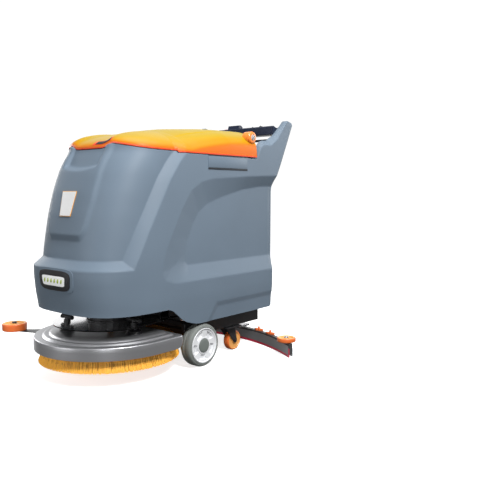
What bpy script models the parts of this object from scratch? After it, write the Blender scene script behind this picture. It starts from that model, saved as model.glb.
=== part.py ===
"""Walk-behind floor scrubber: an assembly of separate named sub-parts.

Metres, +Z up. The machine looks along -Y and its left side is +X. The origin is on the floor, midway
along the machine, so every height below is a height above the floor. The brush deck is modelled raised,
as it is for transport, and the squeegee rests on the floor.
"""

import math

import bmesh
import bpy
from mathutils import Matrix, Vector

# ---- driving dimensions -------------------------------------------------------------------------

GAP = 0.0003  # between pieces that touch
RUNNING_FIT = 0.0004  # radial, between a turning piece and its pin
SHEET = 0.003  # steel plate of the frame

BODY_HALF_WIDTH = 0.280
BODY_WALL = 0.004
BODY_CORNER_POWER = 3.2  # of the rounded front outline
BODY_NOSE = 0.290  # length of the rounded front
REAR_CORNER = 0.030
RIM_WIDTH = 0.033  # turned-in rim, and the thickness of the rear wings
RIM_DEPTH = 0.050
FRONT_INSET = 0.034  # of the upper front behind the ledge
SIDE_INSET = 0.027  # of the upper front inside the slanted crease
CREASE_WIDTH = 0.068
ARCH_INSET = 0.024
LEDGE_Z = 0.437
LEDGE_HEIGHT = 0.032
RIM_Z = 0.872
WING_TOP_Z = 1.042
REAR_TOP_Z = 0.925
PANEL_HALF = 0.140
PANEL_BOTTOM = 0.537
PANEL_RAISE = 0.010
SCOOP_HALF = 0.103
SCOOP_BOTTOM = 0.800
SCOOP_DEPTH = 0.016
BADGE_SIZE = (0.074, 0.093)  # width at the middle, height
BADGE_MIDDLE_Z = 0.6765
LIGHT_WIDTH = 0.202
LIGHT_Z = (0.357, 0.431)
LIGHT_DEPTH = 0.008

LID_GAP = 0.0025
LID_WALL = 0.003
LID_LIP = 0.006  # upright edge all round
LID_REAR_Y = 0.303
LID_SPINE_Y = -0.120  # where the rounded front of the lid ends
HINGE_Y = 0.278
HINGE_Z = 0.960
HINGE_PIN = 0.006
HINGE_LUG = 0.026

WHEEL_RADIUS = 0.089
WHEEL_WIDTH = 0.056
WHEEL_OUTER_X = 0.276
WHEEL_Y = -0.036
TYRE_DEPTH = 0.0165
RIM_RADIUS = WHEEL_RADIUS - TYRE_DEPTH
AXLE_RADIUS = 0.011

CASTER_X = 0.179
CASTER_PIVOT_Y = 0.212
CASTER_TRAIL = 0.036
CASTER_RADIUS = 0.045
CASTER_WIDTH = 0.030

RAIL_X = 0.198
RAIL_WIDTH = 0.020
RAIL_BOTTOM = 0.118
RAIL_TOP = 0.176
RAIL_FRONT_Y = -0.085
RAIL_REAR_Y = 0.405

BRUSH_Y = -0.303
BRUSH_RADIUS = 0.280
BRUSH_LIFT = 0.060  # bristle tips above the floor when raised
BRUSH_BLOCK_BOTTOM = 0.115
BRUSH_BLOCK_TOP = 0.137
DECK_RADIUS = 0.294
DECK_REAR_Y = -0.168
DECK_BOTTOM = 0.111
DECK_REAR_LIP = 0.150  # lower edge at the rear, above the brush that reaches out behind
DECK_RIM_Z = 0.160
DECK_PLATEAU_Z = 0.174
DECK_WALL = 0.0025
SHAFT_RADIUS = 0.012
CARRIER_Z = 0.204
CARRIER_RADIUS = 0.222
POST_RING = 0.165
POST_RADIUS = 0.014
POST_MOUNT = 0.017  # height of the boss under each post
HANDLE_Z = (0.217, 0.235)
SOLENOID_AT = (-0.112, -0.263)
ARM_X = 0.150
ARM_PIVOT_Y = 0.050
ARM_PIVOT_Z = 0.205
ARM_RISE = 0.045  # between the two arms of the parallel linkage
ARM_REACH = 0.210
ARM_SLOPE = 0.020  # fall of the raised arms from deck to frame
ARM_PIN = 0.006

BUMPER_AT = (-0.350, -0.520, 0.165)
BUMPER_RADIUS = 0.049
BUMPER_WIDTH = 0.030

SQUEEGEE_HALF = 0.472
SQUEEGEE_Y = 0.447  # rearmost point of the curved blade
SQUEEGEE_SWEEP = 0.144
SQUEEGEE_THICK = 0.022
BLADE_THICK = 0.004
BLADE_Z = (0.0005, 0.040)
SQUEEGEE_Z = (0.014, 0.060)
LINK_X = 0.0985
LINK_PIVOT_Y = 0.285
LINK_Z = 0.106
LINK_PIN = 0.005
NOZZLE_Y = 0.437
NOZZLE_TOP = 0.104
WING_KNOBS = (0.200, 0.290)
ROLLER_X = SQUEEGEE_HALF - 0.034
ROLLER_Y = SQUEEGEE_Y - SQUEEGEE_SWEEP * (ROLLER_X / SQUEEGEE_HALF) ** 2 - 0.007  # just ahead of the curve
ROLLER_AT = (ROLLER_X, ROLLER_Y, 0.0735)
ROLLER_RADIUS = 0.042
ROLLER_WIDTH = 0.018

CONSOLE_HALF = BODY_HALF_WIDTH - RIM_WIDTH - 0.0010  # between the wings
CONSOLE_Y = 0.4950
CONSOLE_DEPTH = 0.060
CONSOLE_BOTTOM = 0.988
CONSOLE_TOP = 1.030
BAR_Y = 0.574
BAR_Z = 1.020
BAR_RADIUS = 0.0125
BAR_END_GAP = 0.0012  # to the wing, clear of the step in its inner edge
SLOPE = math.atan2(0.022, 0.057)  # of the control panel
BAIL_PIVOT = (0, 0.5355, 0.9975)
BAIL_HALF = CONSOLE_HALF - 0.021

BATTERY = (0.175, 0.316, 0.225)
BATTERY_Y = 0.0785
TRAY_WALL = 0.003
TRAY_FRONT_Y = 0.073
BULKHEAD_Y = 0.066
TANK = ((-0.200, -0.200, 0.640), (0.200, 0.250, 0.885))
PIPE_Y = 0.4195
PIPE_RADIUS = 0.0150
PIPE_BOTTOM = 0.1855
PIPE_WALL = 0.002
DUCT_HALF = 0.028
DUCT_Z = (0.845, 0.882)  # from the top of the inlet pipe forward into the tub

PEDAL_X = 0.110
PEDAL_Y = 0.360
PEDAL_Z = 0.150
PEDAL_PIN = 0.006

# ---- profiles of the body ------------------------------------------------------------------------

# height, then the front of the outline on the centre line
NOSE_LINE = [
    (0.270, -0.534), (0.330, -0.544), (0.400, -0.550), (0.475, -0.548), (0.560, -0.534), (0.640, -0.518),
    (0.720, -0.496), (0.800, -0.466), (0.840, -0.444), (0.884, -0.413),
]
# height, then the rear of the body
TAIL_LINE = [(0.180, 0.440), (0.740, 0.445), (0.851, 0.504), (1.042, 0.597)]
# height, then the half width
FLANK_LINE = [(0.180, 0.274), (0.300, BODY_HALF_WIDTH), (0.900, BODY_HALF_WIDTH)]
# height, then where the slanted crease meets the side
CREASE_LINE = [(0.438, -0.397), (0.591, -0.318), (0.773, -0.214), (0.844, -0.160), (0.900, -0.100)]
# distance along the side, then the height of the bottom edge
SILL_LINE = [
    (-0.222, 0.268), (-0.148, 0.207), (-0.080, 0.187), (0.000, 0.184), (0.417, 0.187), (0.444, 0.198),
]
# distance along the side, then the height of the top edge behind the hinge
WING_LINE = [
    (0.200, RIM_Z), (0.255, RIM_Z - 0.004), (0.312, RIM_Z - 0.004), (0.330, 0.918), (0.360, 0.935),
    (0.413, 0.936), (0.460, 0.966), (0.537, 1.056), (0.597, WING_TOP_Z),
]
# half width of the front panel, then the height of its top edge: the lid dips over the panel
PANEL_RIM = [(0.087, 0.884), (0.121, 0.904), (0.190, 0.892), (0.270, 0.876)]
# the arch on the side: outer and inner edges of its bevel, from low at the rear round to high at the rear
ARCH_OUTER = [
    (0.700, 0.366), (-0.200, 0.366), (-0.252, 0.384), (-0.270, 0.420), (-0.245, 0.500), (-0.163, 0.651),
    (-0.107, 0.728), (-0.050, 0.761), (0.021, 0.776), (0.268, 0.790), (0.700, 0.805),
]
ARCH_INNER = [
    (0.700, 0.430), (-0.112, 0.430), (-0.124, 0.444), (-0.110, 0.530), (-0.075, 0.601), (-0.046, 0.640),
    (0.008, 0.674), (0.101, 0.702), (0.233, 0.732), (0.354, 0.746), (0.700, 0.752),
]
# height of the lid along its middle
LID_CROWN = [(LID_SPINE_Y, 0.976), (-0.050, 0.986), (0.100, 0.996), (LID_REAR_Y, 1.001)]


def clamp(t):
    return max(0.0, min(1.0, t))


def smooth(t):
    t = clamp(t)
    return t * t * (3 - 2 * t)


def along(points, x):
    """The height at x of the line through the points, level beyond its ends."""
    if x <= points[0][0]:
        return points[0][1]
    for (a, fa), (b, fb) in zip(points, points[1:]):
        if x <= b:
            return fa + (fb - fa) * (x - a) / (b - a)
    return points[-1][1]


def distance_to(points, p):
    """Distance from p to the line through the points."""
    best = math.inf
    for a, b in zip(points, points[1:]):
        run = (b[0] - a[0], b[1] - a[1])
        t = clamp(((p[0] - a[0]) * run[0] + (p[1] - a[1]) * run[1]) / (run[0] ** 2 + run[1] ** 2))
        best = min(best, math.hypot(p[0] - a[0] - t * run[0], p[1] - a[1] - t * run[1]))
    return best


def encloses(points, p):
    """Whether p lies inside the closed outline."""
    inside = False
    for a, b in zip(points, points[1:] + points[:1]):
        if (a[1] > p[1]) != (b[1] > p[1]) and p[0] < a[0] + (p[1] - a[1]) * (b[0] - a[0]) / (b[1] - a[1]):
            inside = not inside
    return inside


def arch_depth(y, z):
    """How far the side is set in at this place of the arch."""
    if not encloses(ARCH_OUTER, (y, z)):
        return 0.0
    if encloses(ARCH_INNER, (y, z)):
        return ARCH_INSET
    outer = distance_to(ARCH_OUTER, (y, z))
    return ARCH_INSET * outer / (outer + distance_to(ARCH_INNER, (y, z)))


def nose_inset(y, z):
    """0 on the band and the sides, 1 on the upper front."""
    ledge = (z - LEDGE_Z) / LEDGE_HEIGHT
    crease = (along(CREASE_LINE, z) - y) / CREASE_WIDTH
    return clamp(min(ledge, crease))


def body_outline(s, z, inset=0.0):
    """A point of the half outline at height z. s is 0 at the front centre, 1 where the rounded front meets
    the side, 2 at the rear corner, 3 past it and 4 at the rear centre."""
    half = along(FLANK_LINE, z) - inset
    front = along(NOSE_LINE, z)
    centre = front + BODY_NOSE
    tail = along(TAIL_LINE, z) - inset
    corner = max(REAR_CORNER - inset, 0.0)
    if s <= 1:
        turn = s * math.pi / 2
        across = math.sin(turn) ** (2 / BODY_CORNER_POWER)
        forward = math.cos(turn) ** (2 / BODY_CORNER_POWER)
        x = half * across
        y = centre - (BODY_NOSE - inset) * forward
    elif s <= 2:
        across, forward = 1.0, 0.0
        x = half
        y = centre + (tail - corner - centre) * (s - 1)
    elif s <= 3:
        turn = (s - 2) * math.pi / 2
        return half - corner + corner * math.cos(turn), tail - corner + corner * math.sin(turn)
    else:
        return min((BODY_HALF_WIDTH - REAR_CORNER) * (4 - s), half - corner), tail
    amount = nose_inset(y, z)
    x -= SIDE_INSET * amount * across
    y += FRONT_INSET * amount * forward
    return x, y


def body_surface(s, z):
    """The outline with the arch, the front panel and the finger scoop worked in."""
    x, y = body_outline(s, z)
    if 1 <= s <= 3:
        x -= arch_depth(y, z)
    if s < 1:
        panel = smooth(min((PANEL_HALF - x) / 0.040, (z - PANEL_BOTTOM) / 0.040))
        scoop = smooth((z - SCOOP_BOTTOM) / 0.030) * smooth((SCOOP_HALF - x) / 0.020)
        y += SCOOP_DEPTH * scoop - PANEL_RAISE * panel
    return x, y


def top_edge(s):
    """Height of the rim at this column."""
    if s < 1:
        x = body_outline(s, RIM_Z)[0]
        return along(PANEL_RIM, x) if x < 0.270 else RIM_Z
    if s <= 2:
        z = RIM_Z
        for _ in range(12):
            z = along(WING_LINE, body_outline(s, z)[1])
        return z
    if s <= 3:
        return WING_TOP_Z
    x = body_outline(s, REAR_TOP_Z)[0]
    return WING_TOP_Z if x > BODY_HALF_WIDTH - RIM_WIDTH - 0.0002 else REAR_TOP_Z


def bottom_edge(s):
    """Height of the lower edge at this column."""
    return along(SILL_LINE, body_outline(s, 0.2)[1])


# ---- tools of the bench --------------------------------------------------------------------------

for leftover in list(bpy.data.objects):
    bpy.data.objects.remove(leftover)

parts = bpy.data.collections.new("floor_scrubber")
cutters = bpy.data.collections.new("cutters")
bpy.context.scene.collection.children.link(parts)
bpy.context.scene.collection.children.link(cutters)


def paint(name, colour, roughness, metallic=0.0):
    material = bpy.data.materials.new(name)
    material.use_nodes = True
    shader = material.node_tree.nodes["Principled BSDF"]
    shader.inputs["Base Color"].default_value = (*colour, 1)
    shader.inputs["Roughness"].default_value = roughness
    shader.inputs["Metallic"].default_value = metallic
    return material


BODY_BLUE = paint("body_blue_grey", (0.14, 0.19, 0.25), 0.45)
LID_ORANGE = paint("lid_orange", (0.85, 0.27, 0.03), 0.35)
DECK_STEEL = paint("deck_steel", (0.35, 0.35, 0.37), 0.3, 1.0)
FRAME_BLACK = paint("frame_black", (0.02, 0.02, 0.022), 0.5)
BRISTLE = paint("bristle", (0.75, 0.35, 0.04), 0.7)
TYRE_GREY = paint("tyre_grey", (0.2, 0.21, 0.2), 0.7)
HUB_WHITE = paint("hub_white", (0.75, 0.75, 0.75), 0.4)
CAP_GREY = paint("cap_grey", (0.16, 0.17, 0.16), 0.5)
KNOB_ORANGE = paint("knob_orange", (0.8, 0.16, 0.04), 0.4)
BLADE_RED = paint("blade_red", (0.75, 0.05, 0.09), 0.5)
SQUEEGEE_GREY = paint("squeegee_grey", (0.17, 0.17, 0.17), 0.35, 0.8)
BRIGHT_STEEL = paint("bright_steel", (0.6, 0.6, 0.6), 0.25, 1.0)
TANK_GREY = paint("tank_grey", (0.3, 0.32, 0.34), 0.5)
NAVY = paint("console_navy", (0.015, 0.02, 0.04), 0.4)
GLASS = paint("lens", (0.8, 0.82, 0.7), 0.1)
BADGE_WHITE = paint("badge_white", (0.8, 0.8, 0.78), 0.4)
RED_BUTTON = paint("red_button", (0.6, 0.02, 0.02), 0.4)


def keep(name, mesh, material, pivot=None):
    """Makes the named part. Its mesh is in world coordinates; its origin goes to the pivot."""
    if pivot is not None:
        mesh.transform(Matrix.Translation(-Vector(pivot)))
    mesh.materials.clear()
    mesh.materials.append(material)
    mesh.shade_smooth()
    mesh.set_sharp_from_angle(angle=math.radians(35))
    part = bpy.data.objects.new(name, mesh)
    if pivot is not None:
        part.location = pivot
    parts.objects.link(part)
    return part


def evaluated(obj):
    """The object's mesh with its modifiers done; the object is removed."""
    bpy.context.view_layer.update()
    graph = bpy.context.evaluated_depsgraph_get()
    mesh = bpy.data.meshes.new_from_object(obj.evaluated_get(graph))
    mesh.transform(obj.matrix_world)
    weld(mesh)
    bpy.data.objects.remove(obj)
    return mesh


def weld(mesh, distance=1e-5):
    work = bmesh.new()
    work.from_mesh(mesh)
    bmesh.ops.remove_doubles(work, verts=work.verts, dist=distance)
    bmesh.ops.dissolve_degenerate(work, edges=work.edges, dist=1e-6)
    bmesh.ops.recalc_face_normals(work, faces=work.faces)
    work.to_mesh(mesh)
    work.free()


def block(low, high, bevel=0.0, segments=2):
    """A box between two corners, its edges rounded."""
    work = bmesh.new()
    size = [b - a for a, b in zip(low, high)]
    middle = [(a + b) / 2 for a, b in zip(low, high)]
    bmesh.ops.create_cube(work, size=1)
    bmesh.ops.scale(work, vec=size, verts=work.verts)
    if bevel:
        bmesh.ops.bevel(
            work, geom=work.edges[:], offset=bevel, segments=segments, affect="EDGES", profile=0.5
        )
    bmesh.ops.translate(work, vec=middle, verts=work.verts)
    mesh = bpy.data.meshes.new("block")
    work.to_mesh(mesh)
    work.free()
    return mesh


def rod(start, end, radius, sides=14, end_radius=None):
    """A round bar, or a cone, between two points."""
    start, end = Vector(start), Vector(end)
    axis = end - start
    work = bmesh.new()
    bmesh.ops.create_cone(
        work,
        cap_ends=True,
        segments=sides,
        radius1=radius,
        radius2=radius if end_radius is None else end_radius,
        depth=axis.length,
    )
    mesh = bpy.data.meshes.new("rod")
    work.to_mesh(mesh)
    work.free()
    mesh.transform(Matrix.Translation((start + end) / 2) @ axis.to_track_quat("Z", "Y").to_matrix().to_4x4())
    return mesh


def turned(profile, at, axis="Z", steps=24):
    """A solid of revolution. The profile's (radius, height) points run down the outer side; a closed
    profile that stays off the axis makes a ring."""
    closed = profile[0] == profile[-1]
    points = profile[:-1] if closed else profile
    mesh = bpy.data.meshes.new("profile")
    edges = [(i, i + 1) for i in range(len(points) - 1)]
    if closed:
        edges.append((len(points) - 1, 0))
    mesh.from_pydata([(r, 0, h) for r, h in points], edges, [])
    work = bpy.data.objects.new("turned", mesh)
    cutters.objects.link(work)
    screw = work.modifiers.new("turn", "SCREW")
    screw.steps = screw.render_steps = steps
    screw.use_merge_vertices = True
    screw.merge_threshold = 1e-5
    turns = {"Z": Matrix.Identity(4), "X": Matrix.Rotation(math.pi / 2, 4, "Y"),
             "-X": Matrix.Rotation(-math.pi / 2, 4, "Y"), "Y": Matrix.Rotation(-math.pi / 2, 4, "X")}
    work.matrix_world = Matrix.Translation(at) @ turns[axis]
    return evaluated(work)


def cut_out(outline, thickness, place):
    """A flat plate from a closed outline, at the plane and side given by the matrix."""
    curve = bpy.data.curves.new("outline", "CURVE")
    curve.dimensions = "2D"
    curve.fill_mode = "BOTH"
    curve.extrude = thickness / 2
    line = curve.splines.new("POLY")
    line.points.add(len(outline) - 1)
    for point, (x, y) in zip(line.points, outline):
        point.co = (x, y, 0, 1)
    line.use_cyclic_u = True
    work = bpy.data.objects.new("plate", curve)
    cutters.objects.link(work)
    work.matrix_world = place
    return evaluated(work)


def tube(points, radius, resolution=3):
    """A round tube with filled ends through the points."""
    curve = bpy.data.curves.new("tube", "CURVE")
    curve.dimensions = "3D"
    curve.bevel_depth = radius
    curve.bevel_resolution = resolution
    curve.use_fill_caps = True
    line = curve.splines.new("POLY")
    line.points.add(len(points) - 1)
    for point, at in zip(line.points, points):
        point.co = (*at, 1)
    work = bpy.data.objects.new("tube", curve)
    cutters.objects.link(work)
    return evaluated(work)


def combine(operation, first, *others):
    """Boolean of whole meshes."""
    work = bpy.data.objects.new("work", first)
    cutters.objects.link(work)
    tools = []
    for mesh in others:
        tool = bpy.data.objects.new("cutter", mesh)
        cutters.objects.link(tool)
        tool.hide_render = True
        tool.display_type = "WIRE"
        tools.append(tool)
        step = work.modifiers.new("step", "BOOLEAN")
        step.operation = operation
        step.object = tool
    mesh = evaluated(work)
    for tool in tools:
        bpy.data.objects.remove(tool)
    return mesh


def joined(first, *others):
    return combine("UNION", first, *others)


def cut(first, *others):
    return combine("DIFFERENCE", first, *others)


def mirrored(mesh):
    """The same mesh on the other side of the machine."""
    other = mesh.copy()
    other.transform(Matrix.Diagonal((-1, 1, 1, 1)))
    other.flip_normals()
    return other


def lofted(rows, wall, flip=False):
    """A half shell open at X = 0 from rows of points, mirrored and given its wall inwards."""
    vertices = [point for row in rows for point in row]
    across = len(rows[0])
    faces = []
    for i in range(len(rows) - 1):
        for j in range(across - 1):
            quad = [i * across + j, i * across + j + 1, (i + 1) * across + j + 1, (i + 1) * across + j]
            faces.append(quad[::-1] if flip else quad)
    mesh = bpy.data.meshes.new("loft")
    mesh.from_pydata(vertices, [], faces)
    return shell_from(mesh, wall)


def shell_from(mesh, wall):
    work = bmesh.new()
    work.from_mesh(mesh)
    bmesh.ops.remove_doubles(work, verts=work.verts, dist=1e-5)
    bmesh.ops.dissolve_degenerate(work, edges=work.edges, dist=1e-6)
    work.to_mesh(mesh)
    work.free()
    obj = bpy.data.objects.new("shell", mesh)
    cutters.objects.link(obj)
    mirror = obj.modifiers.new("mirror", "MIRROR")
    mirror.merge_threshold = 1e-4
    mirror.use_clip = True
    wall_step = obj.modifiers.new("wall", "SOLIDIFY")
    wall_step.thickness = wall
    wall_step.offset = -1
    return evaluated(obj)


def arc(centre, radius, start, end, steps):
    """Points on a circle, angles in degrees."""
    found = []
    for i in range(steps + 1):
        turn = math.radians(start + (end - start) * i / steps)
        found.append((centre[0] + radius * math.cos(turn), centre[1] + radius * math.sin(turn)))
    return found


def upright(x):
    """Places a plate outline drawn in (Y, Z) on the plane at x."""
    return Matrix(((0, 0, 1, x), (1, 0, 0, 0), (0, 1, 0, 0), (0, 0, 0, 1)))


# ---- body, lid and tanks -------------------------------------------------------------------------


def columns():
    front = [i / 9 for i in range(9)]
    shares = (0, 0.12, 0.24, 0.36, 0.48, 0.6, 0.68, 0.715, 0.75, 0.77, 0.84, 0.895, 0.96)
    side = [1 + share for share in shares]
    corner = [2, 2.5]
    wing = RIM_WIDTH - REAR_CORNER
    flat = BODY_HALF_WIDTH - REAR_CORNER
    rear = [3, 3 + wing / flat, 3 + (wing + 0.0008) / flat, 3.5, 4]
    return front + side + corner + rear


def at_wing_step(s):
    """Whether this column is at the step from the wing down to the rear edge, where no wall is turned in."""
    return 3 < s < 3.1


def body_rows():
    """Rows of the outer skin from the lower edge to the rim, then the rim and the turned-in wall."""
    levels = [0.0, 0.366, LEDGE_Z, LEDGE_Z + LEDGE_HEIGHT, 0.56, 0.65, 0.73, 0.79, 0.84]
    rows = []
    for number, level in enumerate(levels):
        row = []
        for s in columns():
            z = max(level, bottom_edge(s) + 0.012 * number)
            row.append((*body_surface(s, z), z))
        rows.append(row)
    for share in (0.5, 1.0):
        row = []
        for s in columns():
            z = levels[-1] + (top_edge(s) - levels[-1]) * share
            row.append((*body_surface(s, z), z))
        rows.append(row)
    for drop in (0.0, RIM_DEPTH):
        row = []
        for s in columns():
            z = top_edge(s)
            x, y = body_outline(s, z, RIM_WIDTH)
            row.append((x, y, z if at_wing_step(s) else z - drop))
        rows.append(row)
    return rows


def make_body():
    keep("body_shell", lofted(body_rows(), BODY_WALL), BODY_BLUE)


def lid_edge(s):
    """Height of the lid's lower edge at this column."""
    return LID_GAP + (top_edge(s) if s < 1 else RIM_Z)


def lid_rows():
    """Rows of the lid from its lower edge up to its spine."""
    tail = body_outline(2, RIM_Z)[1]
    centre = along(NOSE_LINE, RIM_Z) + BODY_NOSE
    last = 1 + (LID_REAR_Y - centre) / (tail - centre)
    steps = [i / 9 for i in range(9)] + [1 + (last - 1) * i / 6 for i in range(7)]
    rows = [[(*body_outline(s, lid_edge(s)), lid_edge(s)) for s in steps]]
    for share in (1.0, 0.99, 0.95, 0.87, 0.74, 0.5, 0.25, 0.0):
        row = []
        for s in steps:
            x, y = body_outline(s, lid_edge(s))
            edge_z = lid_edge(s) + LID_LIP
            spine_y = max(LID_SPINE_Y, y)
            power = 1.7 + 1.3 * clamp((y - LID_SPINE_Y) / 0.25)
            z = edge_z + (along(LID_CROWN, spine_y) - edge_z) * (1 - share**power) ** (1 / power)
            here = (x * share, spine_y + (y - spine_y) * share)
            z -= 0.012 * smooth((0.115 - here[0]) / 0.03) * smooth((-0.10 - here[1]) / 0.10) * (1 - share**4)
            row.append((*here, z))
        rows.append(row)
    return rows


def make_lid():
    shell = lofted(lid_rows(), LID_WALL)
    lugs = []
    holes = []
    for side in (-1, 1):
        inner = side * (BODY_HALF_WIDTH - 0.044)
        outer = side * (BODY_HALF_WIDTH - 0.001)
        lugs.append(rod((inner, HINGE_Y, HINGE_Z), (outer, HINGE_Y, HINGE_Z), HINGE_LUG, 20))
        holes.append(rod((inner - side * 0.02, HINGE_Y, HINGE_Z), (outer + side * 0.02, HINGE_Y, HINGE_Z),
                         HINGE_PIN + RUNNING_FIT, 16))
    solid = joined(shell, *lugs)
    keep("lid", cut(solid, *holes), LID_ORANGE, (0, HINGE_Y, HINGE_Z))


def under_crown(z):
    """Distance from the middle plane at which the underside of the lid's crown, over the hinge, is at z."""
    edge_z = LID_GAP + RIM_Z + LID_LIP
    rise = (z + LID_WALL - edge_z) / (along(LID_CROWN, HINGE_Y) - edge_z)
    return BODY_HALF_WIDTH * (1 - rise**3) ** (1 / 3)


def make_lid_hinges():
    """Bracket on the turned-in rim, with the pin and its washer outside the lid's lug."""
    wall = BODY_HALF_WIDTH - RIM_WIDTH - GAP
    head = 0.0091
    outer = min(BODY_HALF_WIDTH - 0.058, under_crown(HINGE_Z + head) - 0.006)
    inner = outer - 0.010
    face = BODY_HALF_WIDTH - 0.001 + GAP
    foot_top = RIM_Z - 0.024
    arm = joined(
        block((inner, HINGE_Y - 0.009, foot_top - 0.006), (outer, HINGE_Y + 0.009, HINGE_Z)),
        rod((inner, HINGE_Y, HINGE_Z), (outer, HINGE_Y, HINGE_Z), head, 16),
        block((inner + 0.001, HINGE_Y - 0.016, foot_top - 0.022), (wall, HINGE_Y + 0.016, foot_top)),
        rod((outer - 0.005, HINGE_Y, HINGE_Z), (face + 0.0005, HINGE_Y, HINGE_Z), HINGE_PIN, 16),
        rod((face, HINGE_Y, HINGE_Z), (face + 0.0025, HINGE_Y, HINGE_Z), 0.011, 16),
        rod((face + 0.002, HINGE_Y, HINGE_Z), (face + 0.0045, HINGE_Y, HINGE_Z), 0.006, 6),
    )
    keep("lid_hinge_left", arm, BRIGHT_STEEL)
    keep("lid_hinge_right", mirrored(arm), BRIGHT_STEEL)


def tub(low, high, wall):
    """A box open at the top."""
    inner_low = [c + wall for c in low]
    inner_high = [high[0] - wall, high[1] - wall, high[2] + 0.05]
    return cut(block(low, high), block(inner_low, inner_high))


def make_recovery_tank():
    """Dirty-water tub, its flange running back as the deck behind the lid, and the inlet pipe below it."""
    low, high = TANK
    inside = block((low[0] + 0.003, low[1] + 0.003, low[2] + 0.003), (high[0] - 0.003, high[1] - 0.003, 0.95))
    flange = block((low[0] - 0.010, low[1] - 0.010, high[2] - 0.004), (-low[0] + 0.010, 0.455, high[2]))
    pipe = rod((0, PIPE_Y, PIPE_BOTTOM), (0, PIPE_Y, DUCT_Z[0] + 0.002), PIPE_RADIUS)
    bore = rod((0, PIPE_Y, PIPE_BOTTOM - 0.01), (0, PIPE_Y, DUCT_Z[0] + 0.010), PIPE_RADIUS - PIPE_WALL)
    duct_end = PIPE_Y + PIPE_RADIUS + PIPE_WALL
    duct = block((-DUCT_HALF, high[1] - 0.001, DUCT_Z[0]), (DUCT_HALF, duct_end, DUCT_Z[1]))
    channel = block((PIPE_WALL - DUCT_HALF, high[1] - 0.010, DUCT_Z[0] + PIPE_WALL),
                    (DUCT_HALF - PIPE_WALL, duct_end - PIPE_WALL, DUCT_Z[1] - PIPE_WALL))
    solid = joined(block(low, high), flange, pipe, duct)
    keep("recovery_tank", cut(solid, inside, channel, bore), TANK_GREY)


def make_solution_tank():
    tank = tub((-0.205, -0.400, 0.345), (0.205, 0.030, 0.625), 0.003)
    keep("solution_tank", tank, TANK_GREY)


def make_vacuum_motor():
    profile = [(0, 0.150), (0.035, 0.150), (0.040, 0.110), (0.062, 0.104), (0.062, 0.050), (0.045, 0.044),
               (0.045, 0), (0, 0)]
    keep("vacuum_motor", turned(profile, (0, 0.325, 0.6375 + GAP), steps=24), FRAME_BLACK)


def make_light():
    """Work light on the band, and its lens."""
    skin = min(along(NOSE_LINE, z) for z in (LIGHT_Z[0], 0.400, LIGHT_Z[1])) - 2 * GAP
    half = LIGHT_WIDTH / 2
    bezel = block((-half, skin - LIGHT_DEPTH, LIGHT_Z[0]), (half, skin, LIGHT_Z[1]), 0.004, 1)
    low = (-half + 0.031, LIGHT_Z[0] + 0.014)
    high = (half - 0.031, LIGHT_Z[1] - 0.023)
    hole = block((low[0], skin - 0.02, low[1]), (high[0], skin - 0.003, high[1]))
    keep("light_bezel", cut(bezel, hole), FRAME_BLACK)
    lens = block((low[0] + GAP, skin - 0.006, low[1] + GAP),
                 (high[0] - GAP, skin - 0.003 - GAP, high[1] - GAP))
    keep("light_lens", lens, GLASS)


def make_badge():
    """A bare plate on the raised front panel."""
    width, height = BADGE_SIZE
    low_z, high_z = BADGE_MIDDLE_Z - height / 2, BADGE_MIDDLE_Z + height / 2
    skin = FRONT_INSET - PANEL_RAISE - 0.0032  # behind the nose line, with room for the plate
    bottom = Vector((0, along(NOSE_LINE, low_z) + skin, low_z))
    top = Vector((0, along(NOSE_LINE, high_z) + skin, high_z))
    rise = (top - bottom).normalized()
    out = Vector((-1, 0, 0)).cross(rise)
    middle = (top + bottom) / 2
    place = Matrix((
        (1, 0, 0, middle.x), (0, rise.y, out.y, middle.y), (0, rise.z, out.z, middle.z), (0, 0, 0, 1)))
    outline = [(-width * 0.43, -height / 2), (width * 0.43, -height / 2), (width * 0.57, height / 2),
               (-width * 0.57, height / 2)]
    plate = cut_out(outline, 0.003, place)
    keep("badge_plate", plate, BADGE_WHITE)


# ---- frame ---------------------------------------------------------------------------------------


def make_rails():
    """Side rails; the pedal pins stand on their inner faces."""
    for side, name in ((1, "rail_left"), (-1, "rail_right")):
        inner = side * (RAIL_X - RAIL_WIDTH / 2)
        outer = side * (RAIL_X + RAIL_WIDTH / 2)
        low = (min(inner, outer), RAIL_FRONT_Y, RAIL_BOTTOM)
        high = (max(inner, outer), RAIL_REAR_Y, RAIL_TOP)
        rail = block(low, high, 0.002, 1)
        pin = rod((side * (PEDAL_X - 0.012), PEDAL_Y, PEDAL_Z), (inner + side * 0.004, PEDAL_Y, PEDAL_Z),
                  PEDAL_PIN)
        collar = rod((side * (PEDAL_X - 0.014), PEDAL_Y, PEDAL_Z),
                     (side * (PEDAL_X - 0.0085), PEDAL_Y, PEDAL_Z), PEDAL_PIN + 0.004)
        keep(name, joined(rail, pin, collar), FRAME_BLACK)


def make_crossmembers():
    inner = RAIL_X - RAIL_WIDTH / 2 - GAP
    front = block((-inner, -0.010, 0.137), (inner, 0.014, 0.160))
    keep("cross_front", front, FRAME_BLACK)
    beam = block((-inner, 0.225, RAIL_BOTTOM), (inner, 0.300, 0.134))
    pieces = []
    for side in (-1, 1):
        hanger = sorted((side * 0.0850, side * 0.0920))
        pieces.append(block((hanger[0], 0.272, LINK_Z - 0.014), (hanger[1], 0.298, RAIL_BOTTOM + 0.002)))
        y, z = LINK_PIVOT_Y, LINK_Z
        pieces.append(rod((side * 0.087, y, z), (side * 0.106, y, z), LINK_PIN))
        plate = sorted((side * 0.130, side * 0.226))
        pieces.append(block((plate[0], 0.165, 0.1132), (plate[1], 0.262, RAIL_BOTTOM - GAP)))
        web = sorted((side * 0.131, side * inner))
        pieces.append(block((web[0], 0.226, 0.116), (web[1], 0.260, RAIL_BOTTOM + 0.004)))
    keep("cross_rear", joined(beam, *pieces), FRAME_BLACK)


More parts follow.
